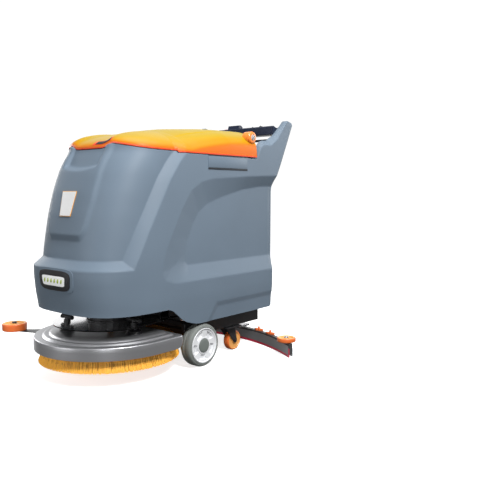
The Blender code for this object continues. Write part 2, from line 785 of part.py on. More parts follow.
def make_tank_frame():
    """Bulkhead with the shelf under the tank and the pins of the lift arms."""
    wall = block((-0.205, BULKHEAD_Y, RAIL_TOP + GAP), (0.205, BULKHEAD_Y + SHEET, 0.632))
    shelf = block((-0.205, -0.200, 0.630), (0.205, 0.400, 0.630 + SHEET))
    pieces = [shelf]
    for side in (-1, 1):
        ear = sorted((side * 0.168, side * 0.174))
        pieces.append(block((ear[0], 0.033, 0.188), (ear[1], BULKHEAD_Y + 0.001, 0.268)))
        for rise in (0, ARM_RISE):
            z = ARM_PIVOT_Z + rise
            pieces.append(rod((side * 0.140, ARM_PIVOT_Y, z), (side * 0.170, ARM_PIVOT_Y, z), ARM_PIN))
    keep("tank_frame", joined(wall, *pieces), FRAME_BLACK)


def make_battery_box():
    low = (-0.185, TRAY_FRONT_Y, RAIL_TOP + GAP)
    high = (0.185, 0.400, 0.200)
    keep("battery_tray", tub(low, high, TRAY_WALL), FRAME_BLACK)
    cells = []
    for side in (-1, 1):
        ends = sorted((side * 0.003, side * (0.003 + BATTERY[0])))
        bottom = RAIL_TOP + GAP + TRAY_WALL + GAP
        top = bottom + BATTERY[2]
        case = block((ends[0], BATTERY_Y, bottom), (ends[1], BATTERY_Y + BATTERY[1], top), 0.004, 1)
        posts = []
        for y in (0.12, 0.34):
            x = side * 0.09
            posts.append(rod((x, y, top - 0.002), (x, y, top + 0.016), 0.008, 12))
        cells.append(joined(case, *posts))
    strap = block((-0.150, 0.215, top - 0.001), (0.150, 0.245, top + 0.002))
    keep("batteries", joined(strap, *cells), FRAME_BLACK)


def make_transaxle():
    """Motor and differential behind the brush, with a gear case reaching forward to each wheel's axle."""
    housing = block((-0.165, 0.004, 0.050), (0.165, 0.086, 0.131), 0.008, 1)
    motor = rod((0, 0.080, 0.090), (0, 0.195, 0.090), 0.036, 20)
    cases = []
    bores = []
    for side in (-1, 1):
        ends = sorted((side * 0.160, side * (WHEEL_OUTER_X - WHEEL_WIDTH - 0.004)))
        cases.append(block((ends[0], WHEEL_Y - 0.026, 0.058), (ends[1], 0.080, RAIL_BOTTOM - GAP)))
        bores.append(rod((side * 0.166, WHEEL_Y, WHEEL_RADIUS), (side * 0.230, WHEEL_Y, WHEEL_RADIUS),
                         AXLE_RADIUS + 0.0006, 20))
    keep("transaxle", cut(joined(housing, motor, *cases), *bores), FRAME_BLACK)


# ---- wheels --------------------------------------------------------------------------------------


def make_wheel(side, name):
    centre_x = side * (WHEEL_OUTER_X - WHEEL_WIDTH / 2)
    half = WHEEL_WIDTH / 2
    at = (centre_x, WHEEL_Y, WHEEL_RADIUS)
    axis = "X" if side > 0 else "-X"
    bore = RIM_RADIUS + GAP
    lip = RIM_RADIUS - 0.0085
    tyre = [
        (WHEEL_RADIUS - 0.010, half), (WHEEL_RADIUS - 0.003, half - 0.003), (WHEEL_RADIUS, half - 0.010),
        (WHEEL_RADIUS, 0.010 - half), (WHEEL_RADIUS - 0.003, 0.003 - half), (WHEEL_RADIUS - 0.010, -half),
        (bore, -half), (bore, half), (WHEEL_RADIUS - 0.010, half),
    ]
    keep("tyre_" + name, turned(tyre, at, axis, 32), TYRE_GREY, at)
    well = lip - 0.002
    rim = [
        (0, half - 0.010), (0.030, half - 0.010), (0.036, half - 0.006), (well - 0.002, half - 0.002),
        (lip, half + 0.001), (RIM_RADIUS, half + 0.001), (RIM_RADIUS, 0.003 - half), (well, 0.003 - half),
        (well, -0.006), (0.024, -0.012), (0.024, -half), (AXLE_RADIUS, -half), (AXLE_RADIUS, -half - 0.050),
        (0, -half - 0.050),
    ]
    keep("rim_" + name, turned(rim, at, axis, 32), HUB_WHITE, at)
    seat = half - 0.0097
    cap = [(0, half + 0.001), (0.026, half), (0.029, half - 0.003), (0.029, seat), (0, seat)]
    keep("hub_cap_" + name, turned(cap, at, axis, 24), CAP_GREY, at)


def make_caster(side, name):
    """Swivelling fork, and the wheel on its axle behind the swivel."""
    x = side * CASTER_X
    axle_y = CASTER_PIVOT_Y + CASTER_TRAIL
    inner = CASTER_WIDTH / 2 + 0.003
    top = 0.1120
    outline = [(CASTER_PIVOT_Y - 0.026, top - 0.004), (CASTER_PIVOT_Y + 0.034, top - 0.004)]
    outline += arc((axle_y, CASTER_RADIUS), 0.011, 30, -150, 6)
    sides = []
    for face in (-1, 1):
        sides.append(cut_out(outline, SHEET, upright(x + face * (inner + SHEET / 2))))
    head = block((x - inner - SHEET, CASTER_PIVOT_Y - 0.026, top - 0.007),
                 (x + inner + SHEET, CASTER_PIVOT_Y + 0.034, top - 0.003))
    bearing = rod((x, CASTER_PIVOT_Y, top - 0.0035), (x, CASTER_PIVOT_Y, top + 0.0009), 0.024, 24)
    reach = inner + SHEET + 0.002
    axle = rod((x - reach, axle_y, CASTER_RADIUS), (x + reach, axle_y, CASTER_RADIUS), 0.005, 16)
    fork = joined(head, bearing, axle, *sides)
    keep("caster_fork_" + name, fork, FRAME_BLACK, (x, CASTER_PIVOT_Y, top))
    half = CASTER_WIDTH / 2
    bore = 0.005 + RUNNING_FIT
    wheel = [
        (CASTER_RADIUS - 0.004, half), (CASTER_RADIUS, half - 0.005), (CASTER_RADIUS, 0.005 - half),
        (CASTER_RADIUS - 0.004, -half), (0.012, -half), (bore, -half), (bore, half), (0.012, half),
        (CASTER_RADIUS - 0.004, half),
    ]
    at = (x, axle_y, CASTER_RADIUS)
    keep("caster_wheel_" + name, turned(wheel, at, "X", 24), KNOB_ORANGE, at)


# ---- brush deck ----------------------------------------------------------------------------------


def deck_row(inset, z):
    """Half of the D-shaped deck outline, set in by the given distance. The skirt is open at the rear."""
    radius = DECK_RADIUS - inset
    rear = DECK_REAR_Y - inset * 0.5
    corner = 0.020
    row = [(x, y, z) for x, y in arc((0, BRUSH_Y), radius, -90, 0, 10)]
    row += [(x, y, z) for x, y in arc((radius - corner, rear - corner), corner, 0, 90, 2)]
    row.append((0, rear, z))
    open_rear = row[:-3] + [(x, y, max(z, DECK_REAR_LIP)) for x, y, z in row[-3:]]
    return [(abs(x) if abs(x) > 1e-6 else 0.0, y, z) for x, y, z in open_rear]


def make_deck():
    profile = [
        (0, DECK_BOTTOM), (0, DECK_RIM_Z - 0.003), (0.003, DECK_RIM_Z), (0.030, DECK_RIM_Z),
        (0.042, DECK_RIM_Z + 0.007), (0.054, DECK_RIM_Z + 0.005), (0.066, DECK_RIM_Z + 0.012),
        (0.080, DECK_PLATEAU_Z),
    ]
    rows = [deck_row(inset, z) for inset, z in profile]
    hole = []
    for x, y, z in rows[-1]:
        away = Vector((x, y - BRUSH_Y)).normalized() * 0.045
        hole.append((away.x, BRUSH_Y + away.y, DECK_PLATEAU_Z))
    rows.append(hole)
    shell = lofted(rows, DECK_WALL)
    mounts = []
    for x, y in post_places():
        top = DECK_PLATEAU_Z + POST_MOUNT
        mounts.append(rod((x, y, DECK_PLATEAU_Z - 0.001), (x, y, top), 0.031, 24, 0.026))
    keep("deck_housing", joined(shell, *mounts), DECK_STEEL, deck_pivot())


def post_places():
    found = []
    for angle in (-124, -4):
        turn = math.radians(angle)
        found.append((POST_RING * math.cos(turn), BRUSH_Y + POST_RING * math.sin(turn)))
    return found


def deck_pivot():
    """Where the lower arms carry the deck, on the centre line."""
    return (0, ARM_PIVOT_Y - ARM_REACH, ARM_PIVOT_Z + ARM_SLOPE)


def make_carrier():
    """Plate above the deck, with the ears and pins that hang on the arms."""
    _, pivot_y, pivot_z = deck_pivot()
    rear = -0.128
    half = 0.176
    outline = arc((0, BRUSH_Y), CARRIER_RADIUS, -180 + 15, -15, 22)
    outline += [(half + 0.004, rear), (-half - 0.004, rear)]
    plate = cut_out(outline, 0.004, Matrix.Translation((0, 0, CARRIER_Z + 0.002)))
    pieces = []
    for side in (-1, 1):
        ear = sorted((side * 0.168, side * 0.174))
        pieces.append(block((ear[0], pivot_y - 0.018, CARRIER_Z + 0.002), (ear[1], pivot_y + 0.018, 0.288)))
        for rise in (0, ARM_RISE):
            z = pivot_z + rise
            pieces.append(rod((side * 0.140, pivot_y, z), (side * 0.170, pivot_y, z), ARM_PIN))
    holes = []
    below, above = CARRIER_Z - 0.01, CARRIER_Z + 0.02
    for x, y in post_places():
        holes.append(rod((x, y, below), (x, y, above), POST_RADIUS + 0.001, 20))
    holes.append(rod((0, BRUSH_Y, below), (0, BRUSH_Y, above), SHAFT_RADIUS + 0.003, 24))
    keep("carrier_plate", cut(joined(plate, *pieces), *holes), BRIGHT_STEEL, deck_pivot())


def make_deck_knob(place, name):
    """Post through the carrier plate, with the T handle that clamps it."""
    x, y = place
    foot = DECK_PLATEAU_Z + POST_MOUNT + GAP
    post = rod((x, y, foot), (x, y, HANDLE_Z[0] + 0.002), POST_RADIUS)
    handle = block((x - 0.036, y - 0.009, HANDLE_Z[0]), (x + 0.036, y + 0.009, HANDLE_Z[1]), 0.005, 1)
    keep(name, joined(post, handle), FRAME_BLACK, (x, y, foot))


def make_brush_motor():
    base = CARRIER_Z + 0.004 + GAP
    profile = [
        (0, 0.330), (0.060, 0.330), (0.070, 0.322), (0.070, 0.262), (0.085, 0.256), (0.085, base + 0.006),
        (0.092, base + 0.006), (0.092, base), (0, base),
    ]
    can = turned(profile, (0, BRUSH_Y, 0), steps=24)
    solenoid = rod((*SOLENOID_AT, base), (*SOLENOID_AT, 0.262), 0.026, 20)
    bridge = block((SOLENOID_AT[0], SOLENOID_AT[1] - 0.015, 0.240), (-0.060, SOLENOID_AT[1] + 0.015, 0.256))
    keep("brush_motor", joined(can, solenoid, bridge), FRAME_BLACK, deck_pivot())


def make_bumper():
    """Wall roller on a flat bar at the front right of the deck."""
    centre = Vector(BUMPER_AT)
    away = Vector((centre.x, centre.y - BRUSH_Y, 0)).normalized()
    across = Vector((-away.y, away.x, 0))
    start = Vector((0, BRUSH_Y, 0)) + away * (DECK_RADIUS + 0.0012)
    end = Vector((centre.x, centre.y, 0))
    outline = [start + across * 0.032, start - across * 0.032, end - across * 0.011, end + across * 0.011]
    base = centre.z - BUMPER_WIDTH / 2
    bar = cut_out([(p.x, p.y) for p in outline], SHEET, Matrix.Translation((0, 0, base - GAP - SHEET / 2)))
    flange_at = start + away * 0.0015
    flange = block((-0.0015, -0.032, 0.120), (0.0015, 0.032, base - GAP - 0.001))
    turn = math.atan2(away.y, away.x)
    flange.transform(Matrix.Translation(flange_at) @ Matrix.Rotation(turn, 4, "Z"))
    top = centre.z + BUMPER_WIDTH / 2
    bolt = rod((centre.x, centre.y, base - 0.008), (centre.x, centre.y, top + 0.001), 0.006)
    head = rod((centre.x, centre.y, top + GAP), (centre.x, centre.y, top + 0.005), 0.011, 6)
    keep("bumper_bracket", joined(bar, flange, bolt, head), BRIGHT_STEEL, deck_pivot())
    half = BUMPER_WIDTH / 2
    bore = 0.006 + RUNNING_FIT
    wheel = [
        (BUMPER_RADIUS - 0.004, half), (BUMPER_RADIUS, half - 0.004), (BUMPER_RADIUS, 0.004 - half),
        (BUMPER_RADIUS - 0.004, -half), (bore, -half), (bore, half - 0.002), (0.016, half - 0.002),
        (0.020, half - 0.006), (0.036, half - 0.006), (0.040, half), (BUMPER_RADIUS - 0.004, half),
    ]
    keep("bumper_roller", turned(wheel, BUMPER_AT, "Z", 24), KNOB_ORANGE, BUMPER_AT)


def make_brush():
    at = (0, BRUSH_Y, 0)
    block_radius = BRUSH_RADIUS - 0.018
    top = BRUSH_BLOCK_TOP
    profile = [
        (0, CARRIER_Z + 0.003), (SHAFT_RADIUS, CARRIER_Z + 0.003), (SHAFT_RADIUS, top + 0.014),
        (0.036, top + 0.012), (0.036, top), (block_radius - 0.004, top), (block_radius, top - 0.004),
        (block_radius, BRUSH_BLOCK_BOTTOM), (0, BRUSH_BLOCK_BOTTOM),
    ]
    keep("brush_block", turned(profile, at, steps=32), KNOB_ORANGE, (0, BRUSH_Y, BRUSH_BLOCK_TOP))
    bristles = [
        (block_radius, BRUSH_BLOCK_BOTTOM - GAP), (BRUSH_RADIUS - 0.004, BRUSH_LIFT + 0.035),
        (BRUSH_RADIUS, BRUSH_LIFT + 0.004), (BRUSH_RADIUS - 0.004, BRUSH_LIFT), (0.110, BRUSH_LIFT),
        (0.125, BRUSH_BLOCK_BOTTOM - GAP), (block_radius, BRUSH_BLOCK_BOTTOM - GAP),
    ]
    keep("bristles", turned(bristles, at, steps=40), BRISTLE, (0, BRUSH_Y, BRUSH_BLOCK_TOP))


def bar_outline(start, end, radius):
    """A flat link with round ends, in the plane of its two pins."""
    slope = math.degrees(math.atan2(end[1] - start[1], end[0] - start[0]))
    return arc(start, radius, slope + 90, slope + 270, 4) + arc(end, radius, slope - 90, slope + 90, 4)


def make_arms():
    """Two pairs of parallel links on the frame's pins. The upper pair is loose on the deck's pins."""
    _, deck_y, deck_z = deck_pivot()
    for name, rise, play in (("lower_arms", 0, RUNNING_FIT), ("upper_arms", ARM_RISE, 0.002)):
        rear = (ARM_PIVOT_Y, ARM_PIVOT_Z + rise)
        front = (deck_y, deck_z + rise)
        bars = []
        holes = []
        for side in (-1, 1):
            x = side * ARM_X
            bars.append(cut_out(bar_outline(front, rear, 0.012), 0.008, upright(x)))
            for (y, z), radius in ((rear, ARM_PIN + RUNNING_FIT), (front, ARM_PIN + play)):
                holes.append(rod((x - 0.01, y, z), (x + 0.01, y, z), radius))
        middle = ((rear[0] + front[0]) / 2, (rear[1] + front[1]) / 2)
        solid = joined(bars[0], bars[1], rod((-ARM_X, *middle), (ARM_X, *middle), 0.008))
        keep(name, cut(solid, *holes), FRAME_BLACK, (0, *rear))


# ---- squeegee ------------------------------------------------------------------------------------


def sweep_y(x):
    return SQUEEGEE_Y - SQUEEGEE_SWEEP * (x / SQUEEGEE_HALF) ** 2


def swept_strip(half, front, rear, bottom, top):
    """A strip that follows the squeegee's curve, between two distances from its middle line."""
    steps = [half * i / 7 for i in range(-7, 8)]
    outline = [(x, sweep_y(x) + rear) for x in steps] + [(x, sweep_y(x) + front) for x in reversed(steps)]
    return cut_out(outline, top - bottom, Matrix.Translation((0, 0, (top + bottom) / 2)))


def make_squeegee():
    bottom, top = SQUEEGEE_Z
    thick = SQUEEGEE_THICK / 2
    at = (0, NOZZLE_Y, top)
    beam = swept_strip(SQUEEGEE_HALF, -thick, thick, bottom, top)
    plate = block((-0.070, NOZZLE_Y - 0.036, top - 0.001), (0.070, NOZZLE_Y + 0.022, top + 0.0045))
    pieces = [plate]
    for side in (-1, 1):
        x, y, z = ROLLER_AT
        base = z - ROLLER_WIDTH / 2 - GAP
        ends = sorted((side * (x - 0.014), side * (x + 0.014)))
        pieces.append(block((ends[0], y - 0.014, top - 0.006), (ends[1], y + 0.020, base)))
        pieces.append(rod((side * x, y, base - 0.001), (side * x, y, z + ROLLER_WIDTH / 2 + 0.001), 0.006))
        head = z + ROLLER_WIDTH / 2
        pieces.append(rod((side * x, y, head + GAP), (side * x, y, head + 0.004), 0.010, 6))
        for knob_x in WING_KNOBS:
            pieces.append(rod((side * knob_x, sweep_y(knob_x), top - 0.002),
                              (side * knob_x, sweep_y(knob_x), top + 0.020), 0.004, 12))
    bore = rod((0, NOZZLE_Y, 0), (0, NOZZLE_Y, 0.1), 0.0165, 24)
    keep("squeegee_body", cut(joined(beam, *pieces), bore), SQUEEGEE_GREY, at)
    front = swept_strip(SQUEEGEE_HALF, -thick - GAP - BLADE_THICK, -thick - GAP, *BLADE_Z)
    keep("blade_front", front, BLADE_RED, at)
    rear = swept_strip(SQUEEGEE_HALF, thick + GAP, thick + GAP + BLADE_THICK, *BLADE_Z)
    keep("blade_rear", rear, BLADE_RED, at)
    for side, name in ((1, "left"), (-1, "right")):
        make_squeegee_roller(side, name)
        for knob_x, place in zip(WING_KNOBS, ("inner", "outer")):
            make_wing_knob(side * knob_x, name, place)


def make_squeegee_roller(side, name):
    half = ROLLER_WIDTH / 2
    bore = 0.006 + RUNNING_FIT
    wheel = [
        (ROLLER_RADIUS - 0.003, half), (ROLLER_RADIUS, half - 0.003), (ROLLER_RADIUS, 0.003 - half),
        (ROLLER_RADIUS - 0.003, -half), (bore, -half), (bore, half - 0.002), (0.030, half - 0.002),
        (0.033, half), (ROLLER_RADIUS - 0.003, half),
    ]
    at = (side * ROLLER_AT[0], ROLLER_AT[1], ROLLER_AT[2])
    keep("squeegee_roller_" + name, turned(wheel, at, "Z", 20), KNOB_ORANGE, at)


def make_wing_knob(x, name, place):
    """Nut with two wings, on the stud that clamps the blades."""
    y = sweep_y(x)
    base = SQUEEGEE_Z[1] + 0.0008
    hub = rod((x, y, base), (x, y, base + 0.018), 0.011, 16)
    wings = block((x - 0.026, y - 0.004, base + 0.004), (x + 0.026, y + 0.004, base + 0.020), 0.003, 1)
    bore = rod((x, y, base - 0.01), (x, y, base + 0.03), 0.004 + RUNNING_FIT, 12)
    keep(f"wing_knob_{name}_{place}", cut(joined(hub, wings), bore), KNOB_ORANGE, (x, y, base))


def make_squeegee_yoke():
    """Links from the frame to the yoke that carries the hollow swivel and suction nozzle."""
    top = SQUEEGEE_Z[1]
    base = top + 0.0045 + GAP
    plate = block((-LINK_X - 0.010, 0.392, base), (LINK_X + 0.010, 0.462, base + 0.010), 0.002, 1)
    nozzle = rod((0, NOZZLE_Y, top - 0.015), (0, NOZZLE_Y, NOZZLE_TOP), 0.0160, 24)
    links = []
    holes = [rod((0, NOZZLE_Y, 0), (0, NOZZLE_Y, 0.2), 0.0125, 24)]
    for side in (-1, 1):
        x = side * LINK_X
        outline = bar_outline((LINK_PIVOT_Y, LINK_Z), (0.400, base + 0.006), 0.0085)
        links.append(cut_out(outline, 0.008, upright(x)))
        holes.append(rod((x - 0.01, LINK_PIVOT_Y, LINK_Z), (x + 0.01, LINK_PIVOT_Y, LINK_Z),
                         LINK_PIN + RUNNING_FIT))
    pivot = (0, LINK_PIVOT_Y, LINK_Z)
    keep("squeegee_yoke", cut(joined(plate, nozzle, *links), *holes), BRIGHT_STEEL, pivot)
    keep("suction_boot", tube(boot_line(), PIPE_RADIUS), FRAME_BLACK, pivot)


def boot_line():
    """Middle of the rubber boot from the nozzle up to the inlet pipe, straight at both ends."""
    line = [(0, NOZZLE_Y, NOZZLE_TOP + GAP)]
    for i in range(1, 8):
        t = i / 8
        y = NOZZLE_Y + (PIPE_Y - NOZZLE_Y) * smooth((t - 0.125) / 0.75)
        line.append((0, y, NOZZLE_TOP + (PIPE_BOTTOM - NOZZLE_TOP) * t))
    line.append((0, PIPE_Y, PIPE_BOTTOM - GAP))
    return line


# ---- console and controls ------------------------------------------------------------------------

PANEL_UP = Vector((0, math.sin(SLOPE), math.cos(SLOPE)))


def on_panel(x, lift=0.0):
    """A point above the middle of the sloping control panel."""
    middle = Vector((x, CONSOLE_Y + 0.0035, (CONSOLE_TOP + CONSOLE_TOP - 0.022) / 2))
    return middle + PANEL_UP * lift


def make_console():
    front = CONSOLE_Y - CONSOLE_DEPTH / 2
    rear = CONSOLE_Y + CONSOLE_DEPTH / 2
    section = [
        (front, CONSOLE_BOTTOM + 0.004), (front + 0.004, CONSOLE_BOTTOM), (rear, CONSOLE_BOTTOM),
        (rear + 0.002, CONSOLE_TOP - 0.022), (front + 0.005, CONSOLE_TOP), (front, CONSOLE_TOP - 0.004),
    ]
    body = cut_out(section, 2 * CONSOLE_HALF, upright(0))
    holes = []
    for x, radius in ((-0.066, 0.0056), (0.150, 0.0046), (0.100, 0.0046)):
        holes.append(rod(on_panel(x, 0.01), on_panel(x, -0.020), radius, 16))
    pocket = block((-0.165, -0.0085, -0.010), (-0.125, 0.0085, 0.01))
    pocket.transform(Matrix.Translation(on_panel(0)) @ Matrix.Rotation(-SLOPE, 4, "X"))
    holes.append(pocket)
    keep("console_panel", cut(body, *holes), NAVY)
    hood_section = [(front + 0.006, CONSOLE_TOP + GAP), (front + 0.040, CONSOLE_TOP - 0.0128),
                    (front + 0.036, 1.040), (front + 0.026, 1.047), (front + 0.012, 1.047)]
    hood = cut_out(hood_section, 0.070, upright(-0.003))
    keep("display_hood", hood, NAVY)
    inner = BODY_HALF_WIDTH - RIM_WIDTH - BAR_END_GAP
    bar = rod((-inner, BAR_Y, BAR_Z), (inner, BAR_Y, BAR_Z), BAR_RADIUS, 20)
    keep("handlebar", bar, FRAME_BLACK)


def make_controls():
    stop = on_panel(-0.066)
    button = turned([(0, 0.0135), (0.010, 0.0130), (0.015, 0.0100), (0.015, 0.0065), (0.005, 0.0065),
                     (0.005, -0.0140), (0, -0.0140)], (0, 0, 0), steps=20)
    button.transform(Matrix.Translation(stop) @ Matrix.Rotation(-SLOPE, 4, "X"))
    keep("e_stop", button, RED_BUTTON, stop)
    dial_at = on_panel(0.150)
    dial = turned([(0, 0.0150), (0.011, 0.0150), (0.013, 0.0130), (0.014, 0.0005), (0.0042, 0.0005),
                   (0.0042, -0.0150), (0, -0.0150)], (0, 0, 0), steps=20)
    pointer = block((-0.0012, -0.012, 0.014), (0.0012, 0.001, 0.0165))
    knob = joined(dial, pointer)
    knob.transform(Matrix.Translation(dial_at) @ Matrix.Rotation(-SLOPE, 4, "X"))
    keep("speed_knob", knob, FRAME_BLACK, dial_at)
    key_at = on_panel(0.100)
    barrel = turned([(0, 0.0040), (0.009, 0.0040), (0.009, 0.0005), (0.0042, 0.0005), (0.0042, -0.0150),
                     (0, -0.0150)], (0, 0, 0), steps=20)
    bow = block((-0.0012, -0.010, 0.003), (0.0012, 0.010, 0.016))
    key = joined(barrel, bow)
    key.transform(Matrix.Translation(key_at) @ Matrix.Rotation(-SLOPE, 4, "X"))
    keep("key_switch", key, BRIGHT_STEEL, key_at)
    rocker_at = on_panel(-0.145)
    rocker = block((-0.0185, -0.0070, -0.0030), (0.0185, 0.0070, 0.0030), 0.0015, 1)
    rocker.transform(Matrix.Translation(rocker_at) @ Matrix.Rotation(-SLOPE, 4, "X"))
    keep("rocker_switch", rocker, FRAME_BLACK, rocker_at)


def make_bail():
    """Drive lever under the grip bar: a rod on two short arms that turn on stubs at the wings."""
    y, z = BAIL_PIVOT[1:]
    inner = BODY_HALF_WIDTH - RIM_WIDTH - BAR_END_GAP
    top = z - 0.026
    pieces = []
    for side in (-1, 1):
        pieces.append(rod((side * BAIL_HALF, y, z), (side * inner, y, z), 0.005, 12))
        pieces.append(rod((side * BAIL_HALF, y - 0.001, z), (side * BAIL_HALF, y + 0.004, top), 0.005, 12))
    grip = rod((-BAIL_HALF, y + 0.004, top), (BAIL_HALF, y + 0.004, top), 0.006, 12)
    keep("throttle_bail", joined(grip, *pieces), FRAME_BLACK, BAIL_PIVOT)


def make_pedal(side, name):
    """Foot pedal on the rail's pin, reaching out behind the machine."""
    x = side * PEDAL_X
    pivot = (x, PEDAL_Y, PEDAL_Z)
    arm = joined(
        rod((x - 0.008, PEDAL_Y, PEDAL_Z), (x + 0.008, PEDAL_Y, PEDAL_Z), 0.013, 24),
        block((x - 0.0075, PEDAL_Y, PEDAL_Z - 0.006), (x + 0.0075, 0.490, PEDAL_Z + 0.010)),
        block((x - 0.036, 0.478, PEDAL_Z - 0.002), (x + 0.036, 0.532, PEDAL_Z + 0.013), 0.004, 1),
    )
    hole = rod((x - 0.02, PEDAL_Y, PEDAL_Z), (x + 0.02, PEDAL_Y, PEDAL_Z), PEDAL_PIN + RUNNING_FIT, 20)
    keep(name, cut(arm, hole), FRAME_BLACK, pivot)


make_rails()
make_crossmembers()
make_tank_frame()
make_battery_box()
make_transaxle()
make_solution_tank()
make_recovery_tank()
make_vacuum_motor()
make_body()
make_lid()
make_lid_hinges()
make_light()
make_badge()
for which, label in ((1, "left"), (-1, "right")):
    make_wheel(which, label)
    make_caster(which, label)
make_arms()
make_deck()
make_carrier()
make_brush_motor()
make_bumper()
for spot, label in zip(post_places(), ("right", "left")):
    make_deck_knob(spot, "deck_knob_" + label)
make_brush()
make_squeegee_yoke()
make_squeegee()
make_console()
make_controls()
make_bail()
make_pedal(-1, "deck_pedal")
make_pedal(1, "squeegee_pedal")
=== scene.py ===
"""Looks of the walk-behind floor scrubber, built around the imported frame.

Metres, +Z up. The machine faces -Y and its left side is +X. Every piece rides on a body of the frame, and the
shapes that a node only sketches are modelled finely here and replace it.
"""

import random
from contextlib import contextmanager
from math import acos, asin, copysign, cos, hypot, inf, pi, radians, sin

import bmesh
import bpy
from mathutils import Matrix, Vector


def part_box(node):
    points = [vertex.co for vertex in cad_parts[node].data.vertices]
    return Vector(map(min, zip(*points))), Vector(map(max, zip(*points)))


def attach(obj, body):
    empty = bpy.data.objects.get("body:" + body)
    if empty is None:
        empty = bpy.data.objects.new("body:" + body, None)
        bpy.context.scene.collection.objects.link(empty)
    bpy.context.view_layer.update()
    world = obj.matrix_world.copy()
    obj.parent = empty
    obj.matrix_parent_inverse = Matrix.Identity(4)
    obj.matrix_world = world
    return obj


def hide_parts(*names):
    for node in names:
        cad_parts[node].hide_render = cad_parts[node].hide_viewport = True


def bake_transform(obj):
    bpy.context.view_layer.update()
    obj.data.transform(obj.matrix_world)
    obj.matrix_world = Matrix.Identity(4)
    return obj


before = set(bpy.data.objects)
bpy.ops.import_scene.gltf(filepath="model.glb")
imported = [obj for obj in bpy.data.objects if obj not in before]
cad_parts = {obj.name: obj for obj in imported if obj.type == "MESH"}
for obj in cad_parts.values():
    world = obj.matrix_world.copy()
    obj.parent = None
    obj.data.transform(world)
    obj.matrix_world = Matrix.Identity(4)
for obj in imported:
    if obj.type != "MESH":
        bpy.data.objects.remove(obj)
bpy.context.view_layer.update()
dice = random.Random(11)

# ---- sizes of the body, as the part has them ----

HALF_WIDTH = 0.28
WALL = 0.004
CORNER_POWER = 3.2
NOSE = 0.29
REAR_CORNER = 0.03
RIM_WIDTH = 0.033
RIM_DEPTH = 0.05
FRONT_INSET = 0.034
SIDE_INSET = 0.027
ARCH_INSET = 0.024
LEDGE_Z = 0.437
LEDGE_HEIGHT = 0.032
CREASE_WIDTH = 0.06
RIM_Z = 0.872
WING_TOP_Z = 1.042
WING_PEAK_Z = 1.0554
REAR_TOP_Z = 0.925
LID_GAP = 0.0025
LID_WALL = 0.003
LID_LIP = 0.006
LID_REAR_Y = 0.303
LID_SPINE_Y = -0.12
HINGE = (0.278, 0.96)

NOSE_LINE = [
    (0.27, -0.534), (0.33, -0.544), (0.4, -0.55), (0.475, -0.548), (0.56, -0.534), (0.64, -0.518),
    (0.72, -0.496), (0.8, -0.466), (0.84, -0.444), (0.884, -0.413),
]
TAIL_LINE = [(0.18, 0.44), (0.74, 0.445), (0.851, 0.504), (1.058, 0.6047)]
FLANK_LINE = [(0.18, 0.274), (0.3, HALF_WIDTH), (0.9, HALF_WIDTH)]
CREASE_LINE = [(0.438, -0.397), (0.591, -0.318), (0.773, -0.214), (0.844, -0.16), (0.9, -0.1)]
SILL_LINE = [(-0.222, 0.268), (-0.148, 0.207), (-0.08, 0.187), (0, 0.184), (0.417, 0.187), (0.444, 0.198)]
WING_LINE = [
    (0.2, RIM_Z), (0.255, RIM_Z - 0.004), (0.312, RIM_Z - 0.004), (0.33, 0.918), (0.36, 0.935),
    (0.413, 0.936), (0.46, 0.966), (0.537, 1.056), (0.597, WING_TOP_Z),
]
WING_BEVEL = [(0.325, 0), (0.36, 0.02), (0.43, 0.026), (0.49, 0.012), (0.519, 0)]
PANEL_EDGE = [(0.5, 0.11), (0.56, 0.119), (0.6, 0.126), (0.69, 0.1395), (0.9, 0.1365)]
PANEL_BOTTOM = 0.538
PANEL_BEVEL = (0.012, 0.024)
PANEL_RAISE = 0.0105
SCOOP_HALF = 0.106
SCOOP_BOTTOM = 0.801
PANEL_RIM = [(0.087, 0.884), (0.121, 0.904), (0.19, 0.892), (0.27, 0.876)]
ARCH_OUTER = [
    (0.7, 0.366), (-0.2, 0.366), (-0.252, 0.384), (-0.27, 0.42), (-0.245, 0.5), (-0.163, 0.651),
    (-0.107, 0.728), (-0.05, 0.761), (0.021, 0.776), (0.268, 0.79), (0.7, 0.805),
]
ARCH_INNER = [
    (0.7, 0.43), (-0.112, 0.43), (-0.124, 0.444), (-0.11, 0.53), (-0.075, 0.601), (-0.046, 0.64),
    (0.008, 0.674), (0.101, 0.702), (0.233, 0.732), (0.354, 0.746), (0.7, 0.752),
]
STEP_OUTER = [(0.7, 0.264), (0.036, 0.262), (-0.026, 0.17), (0.7, 0.1)]
STEP_INNER = [(0.7, 0.243), (0.05, 0.241), (0.001, 0.17), (0.7, 0.1)]
LID_CROWN = [(LID_SPINE_Y, 0.976), (-0.05, 0.986), (0.1, 0.996), (LID_REAR_Y, 1.001)]
SWOOSH = [(-0.105, 0.88), (-0.049, 0.898), (0.01, 0.909), (0.102, 0.923), (0.2, 0.932), (0.303, 0.936)]

# ---- formulas ----


def clamp(t):
    return max(0, min(1.0, t))


def smooth(t):
    t = clamp(t)
    return t * t * (3 - 2 * t)


def eased(t, radius=0.1):
    """clamp() with its two corners rounded."""
    if t < -radius:
        return 0.0
    if t < radius:
        return (t + radius) ** 2 / (4 * radius)
    if t < 1 - radius:
        return t
    if t < 1 + radius:
        return 1 - (1 + radius - t) ** 2 / (4 * radius)
    return 1.0


def along(points, x):
    """The line through the points at x, level beyond its ends."""
    if x <= points[0][0]:
        return points[0][1]
    for (a, fa), (b, fb) in zip(points, points[1:]):
        if x <= b:
            return fa + (fb - fa) * (x - a) / (b - a)
    return points[-1][1]


def curved(points, x):
    """The same line with its corners rounded, by averaging a few places beside x."""
    reach = 0.016
    return sum(along(points, x + reach * k) for k in (-1, -0.5, 0, 0.5, 1)) / 5


